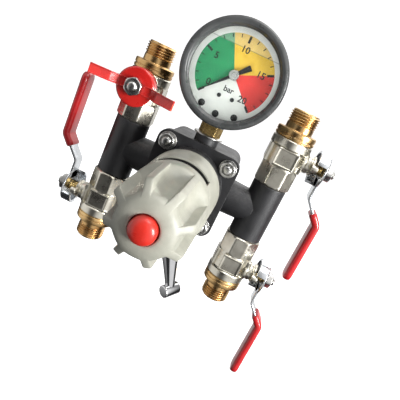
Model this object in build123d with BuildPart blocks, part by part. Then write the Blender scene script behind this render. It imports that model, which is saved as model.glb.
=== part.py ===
"""Sprayer pressure regulating valve with four ball valve outlets and a pressure gauge.

Millimetres, +Z up. The origin is the centre of the bypass port on the rear mounting face. The handwheel
points along -Y and the two outlet manifolds stand at -X and +X.
"""
import os
from math import cos, radians, sin

from build123d import *

os.makedirs("parts", exist_ok=True)

# ---- driving dimensions ----
MANIFOLD_Y = -30.0          # depth of the outlet manifolds, measured from the rear mounting face
MANIFOLD_X = 55.0           # sideways distance of each manifold tube from the handwheel axis
TUBE_R = 12.5               # outside of the manifold tubes
TUBE_HALF = 21.5            # half the height of a manifold tube
STEM_Z = 46.0               # height of the ball centres above and below the manifold middle
G_HALF_MALE_R = 10.48       # outside of a G 1/2 male thread
G_HALF_FEMALE_R = 9.30      # inside of a G 1/2 female thread
THREAD_FIT = 0.05           # radial gap that stands for a made-up thread
RUNNING_FIT = 0.05          # radial clearance of a turning or sliding fit
THROUGH = 2.0               # how far a cut runs past the face it opens
WATERWAY_R = 6.5            # bore of the outlet passages
NIPPLE_R = 9.2              # threaded nipples of the manifolds
BODY_HALF = 29.0            # half the width of the square valve body
BODY_FRONT = -47.0          # front face of the valve body, where the diaphragm is clamped
PORT_DEPTH = 12.0           # depth of the bypass thread in the rear face
SEAT_REAR = -14.0           # shoulder that the seat ring rests on
CHAMBER_R = 20.0            # spring and diaphragm chambers
DIAPHRAGM_R = 25.0          # recess that centres the diaphragm
DIAPHRAGM_T = 2.0
STUD_R = 3.0
WASHER_T = 1.2
GAUGE_THREAD_R = 5.65       # outside of the gauge's pipe thread
STUD_PITCH = 45.0           # square pattern of the cover studs
EAR_FRONT = -52.0           # face of the cover ears, under the washers
COVER_NOSE = -66.0          # front of the round cover boss
BONNET_FRONT = -103.0       # front face of the bonnet
LEVER_Y = -96.6             # plane in which the bypass lever swings
LEVER_ANGLE = -67.0         # direction of the bypass lever in the XZ plane, in degrees
KNOB_REAR = -104.0          # rear rim of the handwheel
KNOB_FRONT = -154.3         # front face of the handwheel hub
KNOB_RIM_R = 24.3           # radius of the handwheel over its ribs
RIB_COUNT = 8
RIB_START = 21.0            # direction of the first rib, in degrees
SCREW_R = 5.0               # pressure adjusting screw
SLEEVE_R = 13.0             # bonnet sleeve that the handwheel turns on
SLEEVE_FRONT = -118.0
WEB_REAR = -118.4           # web inside the handwheel that carries the brass insert
WEB_FRONT = -120.5
INSERT_R = 8.0
GAUGE_Y = -38.0             # gauge connection axis
GAUGE_Z = 79.0              # height of the dial centre
GAUGE_FRONT = -62.0         # front of the gauge bezel
GAUGE_R = 34.3              # outside of the gauge bezel
SEAT_Z = 35.0               # top of the gauge boss
BALL_R = 8.0
STEM_R = 4.0                # valve stems and the poppet's stem
PLATE_U = 27.5              # inner face of a handle plate, measured along the stem from the flow axis
PLATE_T = 2.0

HANDWHEEL_AXIS = Axis((0, 0, 0), (0, 1, 0))


def export(builder, name):
    builder.part.label = name
    export_step(builder.part, f"parts/{name}.step")


def front_plane(y, x=0.0, z=0.0):
    """A plane facing the front of the valve: its normal is -Y, its x is +X and its y is +Z."""
    return Plane(origin=(x, y, z), x_dir=(1, 0, 0), z_dir=(0, -1, 0))


def level_plane(z, x=0.0, y=0.0):
    return Plane(origin=(x, y, z), x_dir=(1, 0, 0), z_dir=(0, 0, 1))


# Profiles of pieces turned about the handwheel axis: sketch x is the radius and sketch y is +Y.
TURNING_PLANE = Plane(origin=(0, 0, 0), x_dir=(1, 0, 0), z_dir=(0, 0, 1))


# ---------------------------------------------------------------- valve body and cover
BODY_CORNER_R = 8.5
BOSS_ROOT = 4.0             # how far a boss is sunk into the body
SIDE_BOSS_R = 13.5
SIDE_BOSS_H = 1.5
GAUGE_BOSS_R = 8.5
MAIN_CHAMBER_R = 9.5
BYPASS_R = 6.0              # passage from the main chamber to the bypass port
INLET_DEPTH = 13.0
CROSS_BORE_R = 7.5
MANIFOLD_SEAT = 17.0        # the manifold nipples reach in to this distance from the middle
GAUGE_THREAD_DEPTH = 11.0
STUD_HOLE_REAR = -25.0
MOUNTING_PITCH = 42.0       # the two mounting screws in the rear face
MOUNTING_HOLE_R = 3.4
MOUNTING_DEPTH = 12.0
with BuildPart() as valve_body:
    with BuildSketch(front_plane(0)):
        RectangleRounded(2 * BODY_HALF, 2 * BODY_HALF, BODY_CORNER_R)
    extrude(amount=-BODY_FRONT)
    fillet(valve_body.edges().filter_by(GeomType.LINE).group_by(Axis.Y)[-1], 1.0)
    # side bosses that the manifolds screw into
    for side in (-1, 1):
        with BuildSketch(Plane(origin=(side * (BODY_HALF - BOSS_ROOT), MANIFOLD_Y, 0), z_dir=(side, 0, 0))):
            Circle(SIDE_BOSS_R)
        extrude(amount=BOSS_ROOT + SIDE_BOSS_H)
    # gauge boss on the top
    with BuildSketch(level_plane(BODY_HALF - BOSS_ROOT, y=GAUGE_Y)):
        Circle(GAUGE_BOSS_R)
    extrude(amount=SEAT_Z - BODY_HALF + BOSS_ROOT)
    # diaphragm chamber, main chamber with its seat pocket, and the bypass port
    with BuildSketch(front_plane(BODY_FRONT + 4)):
        Circle(CHAMBER_R)
    extrude(amount=4 + THROUGH, mode=Mode.SUBTRACT)
    with BuildSketch(front_plane(SEAT_REAR)):
        Circle(MAIN_CHAMBER_R)
    extrude(amount=SEAT_REAR - BODY_FRONT, mode=Mode.SUBTRACT)
    with BuildSketch(front_plane(0)):
        Circle(BYPASS_R)
    extrude(amount=-SEAT_REAR + THROUGH, mode=Mode.SUBTRACT)
    with BuildSketch(front_plane(0)):
        Circle(G_HALF_FEMALE_R)
    extrude(amount=PORT_DEPTH, mode=Mode.SUBTRACT)
    # cross bore and the threads for the manifolds
    with BuildSketch(Plane(origin=(-BODY_HALF - THROUGH, MANIFOLD_Y, 0), z_dir=(1, 0, 0))):
        Circle(CROSS_BORE_R)
    extrude(amount=2 * (BODY_HALF + THROUGH), mode=Mode.SUBTRACT)
    for side in (-1, 1):
        with BuildSketch(Plane(origin=(side * MANIFOLD_SEAT, MANIFOLD_Y, 0), z_dir=(side, 0, 0))):
            Circle(NIPPLE_R + THREAD_FIT)
        extrude(amount=BODY_HALF + SIDE_BOSS_H + THROUGH - MANIFOLD_SEAT, mode=Mode.SUBTRACT)
    # inlet port in the underside
    with BuildSketch(level_plane(-BODY_HALF, y=MANIFOLD_Y)):
        Circle(G_HALF_FEMALE_R)
    extrude(amount=INLET_DEPTH, mode=Mode.SUBTRACT)
    with BuildSketch(level_plane(-BODY_HALF, y=MANIFOLD_Y)):
        Circle(BYPASS_R)
    extrude(amount=BODY_HALF, mode=Mode.SUBTRACT)
    # gauge port
    with BuildSketch(level_plane(SEAT_Z, y=GAUGE_Y)):
        Circle(GAUGE_THREAD_R + THREAD_FIT)
    extrude(amount=-GAUGE_THREAD_DEPTH, mode=Mode.SUBTRACT)
    with BuildSketch(level_plane(SEAT_Z, y=GAUGE_Y)):
        Circle(2.0)
    extrude(amount=-SEAT_Z, mode=Mode.SUBTRACT)
    # blind holes: four for the cover studs, two in the rear face for mounting
    with BuildSketch(front_plane(STUD_HOLE_REAR)):
        with GridLocations(STUD_PITCH, STUD_PITCH, 2, 2):
            Circle(STUD_R + THREAD_FIT)
    extrude(amount=STUD_HOLE_REAR - BODY_FRONT + THROUGH, mode=Mode.SUBTRACT)
    with BuildSketch(front_plane(0)):
        with GridLocations(MOUNTING_PITCH, 0, 2, 1):
            Circle(MOUNTING_HOLE_R)
    extrude(amount=MOUNTING_DEPTH, mode=Mode.SUBTRACT)
export(valve_body, "valve_body")

EAR_R = 7.7                 # rounded corners of the cover, round the studs
COVER_WIDTH = STUD_PITCH + 15.5
COVER_NOSE_R = 25.4
BONNET_THREAD_R = 22.0
BONNET_THREAD_DEPTH = 8.0
STUD_CLEARANCE_R = 3.3
with BuildPart() as front_cover:
    with BuildSketch(front_plane(BODY_FRONT)):
        RectangleRounded(COVER_WIDTH, COVER_WIDTH, EAR_R)
    extrude(amount=BODY_FRONT - EAR_FRONT)
    with BuildSketch(front_plane(BODY_FRONT)):
        Circle(COVER_NOSE_R)
    extrude(amount=BODY_FRONT - COVER_NOSE)
    fillet(front_cover.edges().filter_by(GeomType.CIRCLE).group_by(Axis.Y)[0], 1.2)
    # recess that centres the diaphragm, spring chamber and bonnet thread
    with BuildSketch(front_plane(BODY_FRONT)):
        Circle(DIAPHRAGM_R)
    extrude(amount=DIAPHRAGM_T, mode=Mode.SUBTRACT)
    with BuildSketch(front_plane(BODY_FRONT)):
        Circle(CHAMBER_R)
    extrude(amount=BODY_FRONT - COVER_NOSE, mode=Mode.SUBTRACT)
    with BuildSketch(front_plane(COVER_NOSE)):
        Circle(BONNET_THREAD_R)
    extrude(amount=-BONNET_THREAD_DEPTH, mode=Mode.SUBTRACT)
    with BuildSketch(front_plane(BODY_FRONT)):
        with GridLocations(STUD_PITCH, STUD_PITCH, 2, 2):
            Circle(STUD_CLEARANCE_R)
    extrude(amount=BODY_FRONT - COVER_NOSE, mode=Mode.SUBTRACT)
export(front_cover, "front_cover")

STUD_REAR = STUD_HOLE_REAR - 1.0
STUD_FRONT = -60.0
with BuildPart() as studs:
    with BuildSketch(front_plane(STUD_REAR)):
        with GridLocations(STUD_PITCH, STUD_PITCH, 2, 2):
            Circle(STUD_R)
    extrude(amount=STUD_REAR - STUD_FRONT)
    chamfer(studs.edges().group_by(Axis.Y)[0], 0.6)
export(studs, "studs")

with BuildPart() as washers:
    with BuildSketch(front_plane(EAR_FRONT)):
        with GridLocations(STUD_PITCH, STUD_PITCH, 2, 2):
            Circle(6.2)
            Circle(STUD_R + 0.2, mode=Mode.SUBTRACT)
    extrude(amount=WASHER_T)
export(washers, "washers")

NUT_HALF_FLATS = 5.0
NUT_H = 5.0
with BuildPart() as cover_nuts:
    with BuildSketch(front_plane(EAR_FRONT - WASHER_T)):
        with GridLocations(STUD_PITCH, STUD_PITCH, 2, 2):
            RegularPolygon(NUT_HALF_FLATS, 6, major_radius=False)
            Circle(STUD_R + THREAD_FIT, mode=Mode.SUBTRACT)
    extrude(amount=NUT_H)
export(cover_nuts, "cover_nuts")

with BuildPart() as seat_ring:
    with BuildSketch(front_plane(SEAT_REAR)):
        Circle(MAIN_CHAMBER_R - 0.05)
        Circle(5.5, mode=Mode.SUBTRACT)
    extrude(amount=5.5)
    chamfer(seat_ring.edges().filter_by(GeomType.CIRCLE).group_by(Axis.Y)[0].sort_by(SortBy.RADIUS)[0], 0.8)
export(seat_ring, "seat_ring")

with BuildPart() as diaphragm:
    with BuildSketch(front_plane(BODY_FRONT)):
        Circle(DIAPHRAGM_R - 0.05)
        Circle(STEM_R + 0.3, mode=Mode.SUBTRACT)
    extrude(amount=DIAPHRAGM_T)
export(diaphragm, "diaphragm")

# ---------------------------------------------------------------- poppet, plate and spring
with BuildPart() as poppet:
    with BuildSketch(TURNING_PLANE):
        with BuildLine():
            Polyline((0, -19.8), (5.6, -19.8), (7.2, -21.4), (7.2, -25.0), (STEM_R, -28.0), (STEM_R, -53.0),
                     (0, -53.0), close=True)
        make_face()
    revolve(axis=HANDWHEEL_AXIS)
export(poppet, "poppet")

with BuildPart() as diaphragm_plate:
    with BuildSketch(TURNING_PLANE):
        with BuildLine():
            Polyline((STEM_R, -49.3), (15.0, -49.3), (15.0, -52.0), (8.2, -52.0), (8.2, -56.0), (STEM_R, -56.0),
                     close=True)
        make_face()
    revolve(axis=HANDWHEEL_AXIS)
export(diaphragm_plate, "diaphragm_plate")

SPRING_MEAN_R = 10.5
SPRING_WIRE_R = 1.3
SPRING_REAR = -52.0
SPRING_LENGTH = 36.0
SPRING_TURNS = 6.5
SPRING_REST = 0.1           # gap between each end of the spring and the plate it bears on
SPRING_RISE = SPRING_LENGTH - 2 * (SPRING_WIRE_R + SPRING_REST)
with BuildPart() as spring:
    with BuildLine():
        coil = Helix(
            pitch=SPRING_RISE / SPRING_TURNS,
            height=SPRING_RISE,
            radius=SPRING_MEAN_R,
            center=(0, SPRING_REAR - SPRING_WIRE_R - SPRING_REST, 0),
            direction=(0, -1, 0),
        )
    with BuildSketch(Plane(origin=coil @ 0, z_dir=coil % 0)):
        Circle(SPRING_WIRE_R)
    sweep(is_frenet=True)
export(spring, "spring")

with BuildPart() as spring_cup:
    with BuildSketch(TURNING_PLANE):
        with BuildLine():
            Polyline((5.6, -92.6), (15.0, -92.6), (15.0, -88.0), (8.6, -88.0), (8.6, -84.0), (5.6, -84.0), close=True)
        make_face()
    revolve(axis=HANDWHEEL_AXIS)
export(spring_cup, "spring_cup")

# ---------------------------------------------------------------- bonnet, cam ring and bypass lever
SLOT_HALF = 4.9             # half the width of the lever's windows
SLOT_STARTS = (48.0, 228.0)
SLOT_SWEEP = 86.0
BONNET_END_WALL = 2.0
BONNET_BORE_R = 19.0
with BuildPart() as bonnet:
    with BuildSketch(TURNING_PLANE):
        with BuildLine():
            Polyline((BONNET_BORE_R, COVER_NOSE + BONNET_THREAD_DEPTH),
                     (BONNET_THREAD_R - THREAD_FIT, COVER_NOSE + BONNET_THREAD_DEPTH),
                     (BONNET_THREAD_R - THREAD_FIT, COVER_NOSE), (25.6, COVER_NOSE), (24.2, BONNET_FRONT),
                     (SLEEVE_R, BONNET_FRONT), (SLEEVE_R, SLEEVE_FRONT), (SCREW_R + 0.1, SLEEVE_FRONT),
                     (SCREW_R + 0.1, BONNET_FRONT + BONNET_END_WALL),
                     (BONNET_BORE_R, BONNET_FRONT + BONNET_END_WALL), close=True)
        make_face()
    revolve(axis=HANDWHEEL_AXIS)
    # two opposite windows that the lever sweeps through
    with BuildSketch(front_plane(LEVER_Y + SLOT_HALF)):
        for start in SLOT_STARTS:
            with BuildLine():
                sweep_arc = CenterArc((0, 0), 30.0, start, SLOT_SWEEP)
                Line((0, 0), sweep_arc @ 0)
                Line((0, 0), sweep_arc @ 1)
            make_face()
        Circle(BONNET_BORE_R - 0.1, mode=Mode.SUBTRACT)
    extrude(amount=2 * SLOT_HALF, mode=Mode.SUBTRACT)
export(bonnet, "bonnet")

CAM_R = 18.6
CAM_HALF = 3.7
SPIGOT_R = 2.5              # lever spigot in the cam ring
with BuildPart() as cam_ring:
    with BuildSketch(front_plane(LEVER_Y + CAM_HALF)):
        Circle(CAM_R)
        Circle(SCREW_R + 0.6, mode=Mode.SUBTRACT)
    extrude(amount=2 * CAM_HALF)
    with BuildSketch(Plane(origin=(0, LEVER_Y, 0), x_dir=(0, -1, 0),
                           z_dir=(cos(radians(LEVER_ANGLE)), 0, sin(radians(LEVER_ANGLE))))):
        Circle(SPIGOT_R)
    extrude(amount=CAM_R + THROUGH, mode=Mode.SUBTRACT)
export(cam_ring, "cam_ring")


def lever_plane(distance):
    """A plane across the bypass lever at this distance from the handwheel axis."""
    direction = (cos(radians(LEVER_ANGLE)), 0, sin(radians(LEVER_ANGLE)))
    origin = (direction[0] * distance, LEVER_Y, direction[2] * distance)
    return Plane(origin=origin, x_dir=(0, -1, 0), z_dir=direction)


LEVER_HEAD_AT = 58.0
LEVER_HEAD_R = 4.0
LEVER_ROOT = CAM_R + 0.1
SPIGOT_START = 9.0
HEAD_SPIGOT_R = 2.0
HEAD_TWIST = 50.0           # the cross bar is turned this far out of the plane the lever swings in
with BuildPart() as bypass_lever:
    with BuildSketch(lever_plane(LEVER_ROOT)):
        Ellipse(4.2, 6.3)
    with BuildSketch(lever_plane(36.0)):
        Ellipse(4.1, 5.0)
    with BuildSketch(lever_plane(LEVER_HEAD_AT - LEVER_HEAD_R)):
        Circle(3.2)
    loft()
    # spigots into the cam ring and into the head
    with BuildSketch(lever_plane(SPIGOT_START)):
        Circle(SPIGOT_R)
    extrude(amount=LEVER_ROOT + 0.1 - SPIGOT_START)
    with BuildSketch(lever_plane(LEVER_HEAD_AT - LEVER_HEAD_R)):
        Circle(HEAD_SPIGOT_R)
    extrude(amount=LEVER_HEAD_R)
export(bypass_lever, "bypass_lever")

with BuildPart() as lever_head:
    across = lever_plane(LEVER_HEAD_AT)
    bar_dir = across.y_dir * cos(radians(HEAD_TWIST)) + across.x_dir * sin(radians(HEAD_TWIST))
    head_plane = Plane(origin=across.origin, x_dir=across.z_dir, z_dir=bar_dir)
    with BuildSketch(head_plane):
        Circle(LEVER_HEAD_R)
    extrude(amount=5.5, both=True)
    chamfer(lever_head.edges().filter_by(GeomType.CIRCLE), 0.5)
    with BuildSketch(lever_plane(LEVER_HEAD_AT - LEVER_HEAD_R - THROUGH)):
        Circle(HEAD_SPIGOT_R)
    extrude(amount=LEVER_HEAD_R + THROUGH, mode=Mode.SUBTRACT)
export(lever_head, "lever_head")

# ---------------------------------------------------------------- handwheel
RIB_HALF = 2.1              # half the thickness of a grip rib
RIB_INSET = 0.5             # the ribs stand this far inside the rim
INSERT_FRONT = -139.0       # front face of the brass insert
CAP_FLANGE_R = 8.4          # the cap snaps in behind a lip
CAP_HOLE_R = 7.6
CAP_LIP = -149.0
with BuildPart() as handwheel:
    with BuildSketch(TURNING_PLANE):
        with BuildLine():
            Polyline((SLEEVE_R + 0.1, KNOB_REAR), (KNOB_RIM_R, KNOB_REAR), (KNOB_RIM_R, -112.0), (19.0, -119.0),
                     (17.6, -143.0), (16.6, -147.5), (14.9, -151.0), (12.2, -153.2), (9.6, KNOB_FRONT),
                     (CAP_HOLE_R, KNOB_FRONT), (CAP_HOLE_R, CAP_LIP), (CAP_FLANGE_R, CAP_LIP),
                     (CAP_FLANGE_R, INSERT_FRONT), (INSERT_R, INSERT_FRONT), (INSERT_R, WEB_FRONT),
                     (SCREW_R + 0.4, WEB_FRONT), (SCREW_R + 0.4, WEB_REAR), (SLEEVE_R + 0.1, WEB_REAR), close=True)
        make_face()
    revolve(axis=HANDWHEEL_AXIS)
    for rib in range(RIB_COUNT):
        direction = radians(RIB_START + rib * 360 / RIB_COUNT)
        rib_plane = Plane(origin=(0, 0, 0), x_dir=(cos(direction), 0, sin(direction)),
                          z_dir=(-sin(direction), 0, cos(direction)))
        with BuildSketch(rib_plane):
            with BuildLine():
                Polyline((16.0, -109.0), (KNOB_RIM_R - RIB_INSET, -109.0), (KNOB_RIM_R - 1.3, -146.0),
                         (21.6, -147.4), (17.5, -149.9), (14.4, -151.0), (14.4, -130.0), close=True)
            make_face()
        extrude(amount=RIB_HALF, both=True)
export(handwheel, "handwheel")

with BuildPart() as knob_insert:
    with BuildSketch(front_plane(WEB_FRONT)):
        Circle(INSERT_R)
        Circle(SCREW_R + RUNNING_FIT, mode=Mode.SUBTRACT)
    extrude(amount=WEB_FRONT - INSERT_FRONT)
export(knob_insert, "knob_insert")

CAP_R = 7.1
CAP_REAR = -146.0
CAP_RIM = -157.6            # where the cap's side runs into its dome
CAP_DOME = 3.0
CAP_DOME_R = (CAP_R**2 + CAP_DOME**2) / (2 * CAP_DOME)
with BuildPart() as red_cap:
    with BuildSketch(front_plane(CAP_REAR)):
        Circle(CAP_FLANGE_R)
    extrude(amount=CAP_REAR - CAP_LIP)
    with BuildSketch(front_plane(CAP_LIP)):
        Circle(CAP_R)
    extrude(amount=CAP_LIP - CAP_RIM + CAP_DOME)
    with Locations((0, CAP_RIM - CAP_DOME + CAP_DOME_R, 0)):
        Sphere(CAP_DOME_R, rotation=(90, 0, 0), mode=Mode.INTERSECT)
export(red_cap, "red_cap")

SCREW_REAR = -87.0
SCREW_LENGTH = 48.0
with BuildPart() as adjusting_screw:
    with BuildSketch(front_plane(SCREW_REAR)):
        Circle(SCREW_R)
    extrude(amount=SCREW_LENGTH)
    chamfer(adjusting_screw.edges().filter_by(GeomType.CIRCLE), 0.8)
export(adjusting_screw, "adjusting_screw")

# ---------------------------------------------------------------- outlet manifolds
NIPPLE_LENGTH = 11.5
STUB_ROOT_R = 12.9          # the stub tapers from the body boss towards the tube
STUB_END_R = 12.1


def manifold(side):
    """A tee of one vertical tube with a threaded nipple at each end and one stub to the valve body."""
    with BuildPart() as tee:
        tube_axis = (side * MANIFOLD_X, MANIFOLD_Y)
        with BuildSketch(level_plane(-TUBE_HALF, *tube_axis)):
            Circle(TUBE_R)
        extrude(amount=2 * TUBE_HALF)
        chamfer(tee.edges().filter_by(GeomType.CIRCLE), 0.6)
        nipple_end = TUBE_HALF + NIPPLE_LENGTH
        with BuildSketch(level_plane(-nipple_end, *tube_axis)):
            Circle(NIPPLE_R)
        extrude(amount=2 * nipple_end)
        with BuildSketch(Plane(origin=(side * (BODY_HALF + SIDE_BOSS_H), MANIFOLD_Y, 0), z_dir=(side, 0, 0))):
            Circle(STUB_ROOT_R)
        with BuildSketch(Plane(origin=(side * (MANIFOLD_X - 4), MANIFOLD_Y, 0), z_dir=(side, 0, 0))):
            Circle(STUB_END_R)
        loft()
        with BuildSketch(Plane(origin=(side * MANIFOLD_SEAT, MANIFOLD_Y, 0), z_dir=(side, 0, 0))):
            Circle(NIPPLE_R)
        extrude(amount=BODY_HALF + THROUGH - MANIFOLD_SEAT + 5)
        with BuildSketch(level_plane(-nipple_end, *tube_axis)):
            Circle(WATERWAY_R)
        extrude(amount=2 * nipple_end, mode=Mode.SUBTRACT)
        with BuildSketch(Plane(origin=(side * MANIFOLD_SEAT, MANIFOLD_Y, 0), z_dir=(side, 0, 0))):
            Circle(WATERWAY_R)
        extrude(amount=MANIFOLD_X - MANIFOLD_SEAT, mode=Mode.SUBTRACT)
    return tee


export(manifold(-1), "left_manifold")
export(manifold(1), "right_manifold")

# ---------------------------------------------------------------- ball valves
# Lengths along the flow are measured from the ball centre, positive towards the outlet.
SOCKET_END = TUBE_HALF - STEM_Z
RING_AT = 5.0
JOINT_AT = 11.0
NECK_AT = 17.5
THREAD_AT = 22.0
OUTLET_AT = 31.5
OCTAGON_LENGTH = 15.0
HOUSING_R = 13.2
PAD_REACH = 13.5            # four flat pads stand on the round housing
PAD_WIDTH = 16.6
PAD_START = SOCKET_END + 15.3
PAD_END = RING_AT - 0.3
SEAT_START = -9.0           # the ball seats lie between these two stations
SEAT_END = 8.6
SEAT_R = 9.1
SEAT_INNER = 5.2
SEAT_THICK = 3.0
STEM_THREAD_R = 3.0
STEM_THREAD_LENGTH = 9.6
LUG_AT = -10.0              # stop lug, measured across the stem
LUG_R = 2.5
LUG_START = 18.4
HUB_PLATE_R = 13.0
SKIRT_START = 17.0
SKIRT_SWEEP = 236.0
STRIP_HALF = 6.0            # half the width of the lever strip
SLEEVE_HALF = 7.1
SLEEVE_T = 5.2
GRIP_RISE = 42.5            # the grip lies this far out along the stem
GRIP_REACH = 85.0
STRIP_START = (7.0, PLATE_U + PLATE_T / 2)
STRIP_END = (GRIP_REACH - 3.0, GRIP_RISE)


def valve_frame(side, up, stem, lever):
    """The planes of one valve: across the flow, along it (for turning) and across the stem."""
    centre = Vector(side * MANIFOLD_X, MANIFOLD_Y, up * STEM_Z)
    out = Vector(0, 0, up)
    return {
        "centre": centre,
        "out": out,
        "stem": stem,
        "flow": Plane(origin=centre, x_dir=stem, z_dir=out),
        "turn": Plane(origin=centre, x_dir=stem, z_dir=stem.cross(out)),
        "hub": Plane(origin=centre, x_dir=lever, z_dir=stem),
        "lever": Plane(origin=centre, x_dir=lever, z_dir=lever.cross(stem)),
    }


def valve_case(frame):
    """Nickel-plated housing: octagonal socket, round body with four flats, stem boss and stop lug."""
    flow = frame["flow"]
    hub = frame["hub"]
    with BuildPart() as case:
        with BuildSketch(flow.offset(SOCKET_END)):
            RegularPolygon(13.0, 8, major_radius=False, rotation=22.5)
        extrude(amount=OCTAGON_LENGTH)
        with BuildSketch(flow.offset(SOCKET_END + OCTAGON_LENGTH - 1)):
            Circle(HOUSING_R)
        extrude(amount=RING_AT - SOCKET_END - OCTAGON_LENGTH + 1)
        with BuildSketch(flow.offset(PAD_START)):
            Rectangle(2 * PAD_REACH, PAD_WIDTH)
            Rectangle(PAD_WIDTH, 2 * PAD_REACH)
        extrude(amount=PAD_END - PAD_START)
        with BuildSketch(flow.offset(RING_AT)):
            Circle(14.6)
        extrude(amount=JOINT_AT - RING_AT)
        with BuildSketch(hub.offset(9.0)):
            Circle(7.0)
        extrude(amount=12.0)
        with BuildSketch(hub.offset(LUG_START)):
            with Locations((0, LUG_AT / 2)):
                Rectangle(2 * LUG_R, -LUG_AT)
        extrude(amount=2.3)
        with BuildSketch(hub.offset(LUG_START)):
            with Locations((0, LUG_AT)):
                Circle(LUG_R)
        extrude(amount=4.5)
        # socket thread, waterway and ball chamber
        with BuildSketch(flow.offset(SOCKET_END)):
            Circle(NIPPLE_R + THREAD_FIT)
        extrude(amount=NIPPLE_LENGTH + 1, mode=Mode.SUBTRACT)
        with BuildSketch(flow.offset(SOCKET_END)):
            Circle(SEAT_INNER)
        extrude(amount=30.0, mode=Mode.SUBTRACT)
        with BuildSketch(flow.offset(SEAT_START)):
            Circle(SEAT_R + 0.1)
        extrude(amount=25.0, mode=Mode.SUBTRACT)
        with BuildSketch(hub):
            Circle(STEM_R + RUNNING_FIT)
        extrude(amount=30.0, mode=Mode.SUBTRACT)
    return case


def valve_end(frame):
    """Brass outlet end: collar against the housing, relief neck and male thread, with the waterway."""
    flow = frame["flow"]
    with BuildPart() as end:
        with BuildSketch(flow.offset(SEAT_END)):
            Circle(SEAT_R + THREAD_FIT)
        extrude(amount=JOINT_AT - SEAT_END)
        with BuildSketch(flow.offset(JOINT_AT)):
            Circle(14.4)
        extrude(amount=NECK_AT - JOINT_AT)
        with BuildSketch(flow.offset(NECK_AT)):
            Circle(9.9)
        extrude(amount=THREAD_AT - NECK_AT)
        with BuildSketch(flow.offset(THREAD_AT)):
            Circle(G_HALF_MALE_R)
        extrude(amount=OUTLET_AT - THREAD_AT)
        with BuildSketch(flow.offset(SEAT_END)):
            Circle(WATERWAY_R)
        extrude(amount=OUTLET_AT, mode=Mode.SUBTRACT)
    return end


def valve_seats(frame):
    """Two seat rings, one on each side of the ball, dished 0.3 mm clear of it."""
    flow = frame["flow"]
    with BuildPart() as rings:
        for start in (SEAT_START, SEAT_END - SEAT_THICK):
            with BuildSketch(flow.offset(start)):
                Circle(SEAT_R)
                Circle(SEAT_INNER, mode=Mode.SUBTRACT)
            extrude(amount=SEAT_THICK)
        with Locations(frame["centre"]):
            Sphere(BALL_R + 0.3, mode=Mode.SUBTRACT)
    return rings


def valve_ball(frame, bore):
    """Ball with its waterway along bore and a driving slot under the stem."""
    with BuildPart() as ball:
        with Locations(frame["centre"]):
            Sphere(BALL_R)
        with BuildSketch(Plane(origin=frame["centre"] - bore * 10, z_dir=bore)):
            Circle(5.0)
        extrude(amount=20.0, mode=Mode.SUBTRACT)
        with BuildSketch(Plane(origin=frame["centre"] + frame["stem"] * 5.6, x_dir=bore, z_dir=frame["stem"])):
            Rectangle(20.0, 2.6)
        extrude(amount=5.0, mode=Mode.SUBTRACT)
    return ball


def valve_stem(frame, bore):
    """Stem with a tongue in the ball's slot, a round shank and a threaded end for the handle nut."""
    hub = frame["hub"]
    with BuildPart() as stem:
        with BuildSketch(hub.offset(BALL_R + 0.2)):
            Circle(STEM_R)
        extrude(amount=PLATE_U - BALL_R - 0.2)
        with BuildSketch(Plane(origin=frame["centre"] + frame["stem"] * 5.7, x_dir=bore, z_dir=frame["stem"])):
            Rectangle(6.6, 2.5)
        extrude(amount=3.5)
        with BuildSketch(hub.offset(PLATE_U)):
            Circle(STEM_THREAD_R)
        extrude(amount=STEM_THREAD_LENGTH)
        chamfer(stem.edges().filter_by(GeomType.CIRCLE).sort_by(Axis(frame["centre"], frame["stem"]))[-1], 0.5)
    return stem


def valve_nut(frame):
    """Hexagon nut that holds the handle on its stem."""
    with BuildPart() as nut:
        with BuildSketch(frame["hub"].offset(PLATE_U + PLATE_T)):
            RegularPolygon(5.5, 6, major_radius=False)
            Circle(STEM_THREAD_R + THREAD_FIT, mode=Mode.SUBTRACT)
        extrude(amount=5.2)
    return nut


def handle_hub(frame):
    """Round handle plate with a skirt towards the valve: the skirt's two ends stop against the lug."""
    hub = frame["hub"]
    with BuildPart() as plate:
        with BuildSketch(hub.offset(PLATE_U)):
            Circle(HUB_PLATE_R)
            Circle(STEM_THREAD_R + THREAD_FIT, mode=Mode.SUBTRACT)
        extrude(amount=PLATE_T)
        with BuildSketch(hub.offset(PLATE_U)):
            with BuildLine():
                arc = CenterArc((0, 0), HUB_PLATE_R, SKIRT_START, SKIRT_SWEEP)
                Line((0, 0), arc @ 0)
                Line((0, 0), arc @ 1)
            make_face()
            Circle(HUB_PLATE_R - PLATE_T, mode=Mode.SUBTRACT)
        extrude(amount=-6.5)
    return plate.part


def lever_path(start, end):
    """The lever's cranked centre line between two stations, in the plane of the lever and the stem."""
    bends = ((21.0, PLATE_U + PLATE_T / 2), (37.0, GRIP_RISE))
    return FilletPolyline(start, *[bend for bend in bends if bend[0] > start[0]], end, radius=5.0)


def lever_handle(frame):
    """Pressed steel lever: hub plate with its skirt and a cranked strip that runs into the grip."""
    plate = handle_hub(frame)
    with BuildPart() as handle:
        add(plate)
        with BuildSketch(frame["lever"]):
            with BuildLine():
                lever_path(STRIP_START, STRIP_END)
            trace(line_width=PLATE_T)
        extrude(amount=STRIP_HALF, both=True)
    return handle


def grip_sleeve(frame):
    """Dipped plastic sleeve over the outer part of the lever."""
    with BuildPart() as sleeve:
        with BuildSketch(frame["lever"]):
            with BuildLine():
                lever_path((29.5, 35.94), (GRIP_REACH, GRIP_RISE))
            trace(line_width=SLEEVE_T)
        extrude(amount=SLEEVE_HALF, both=True)
        fillet(sleeve.edges().filter_by(Axis(frame["centre"], frame["lever"].z_dir)), 2.2)
        with BuildSketch(frame["lever"]):
            with BuildLine():
                lever_path(STRIP_START, STRIP_END)
            trace(line_width=PLATE_T)
        extrude(amount=STRIP_HALF, both=True, mode=Mode.SUBTRACT)
    return sleeve


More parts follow.
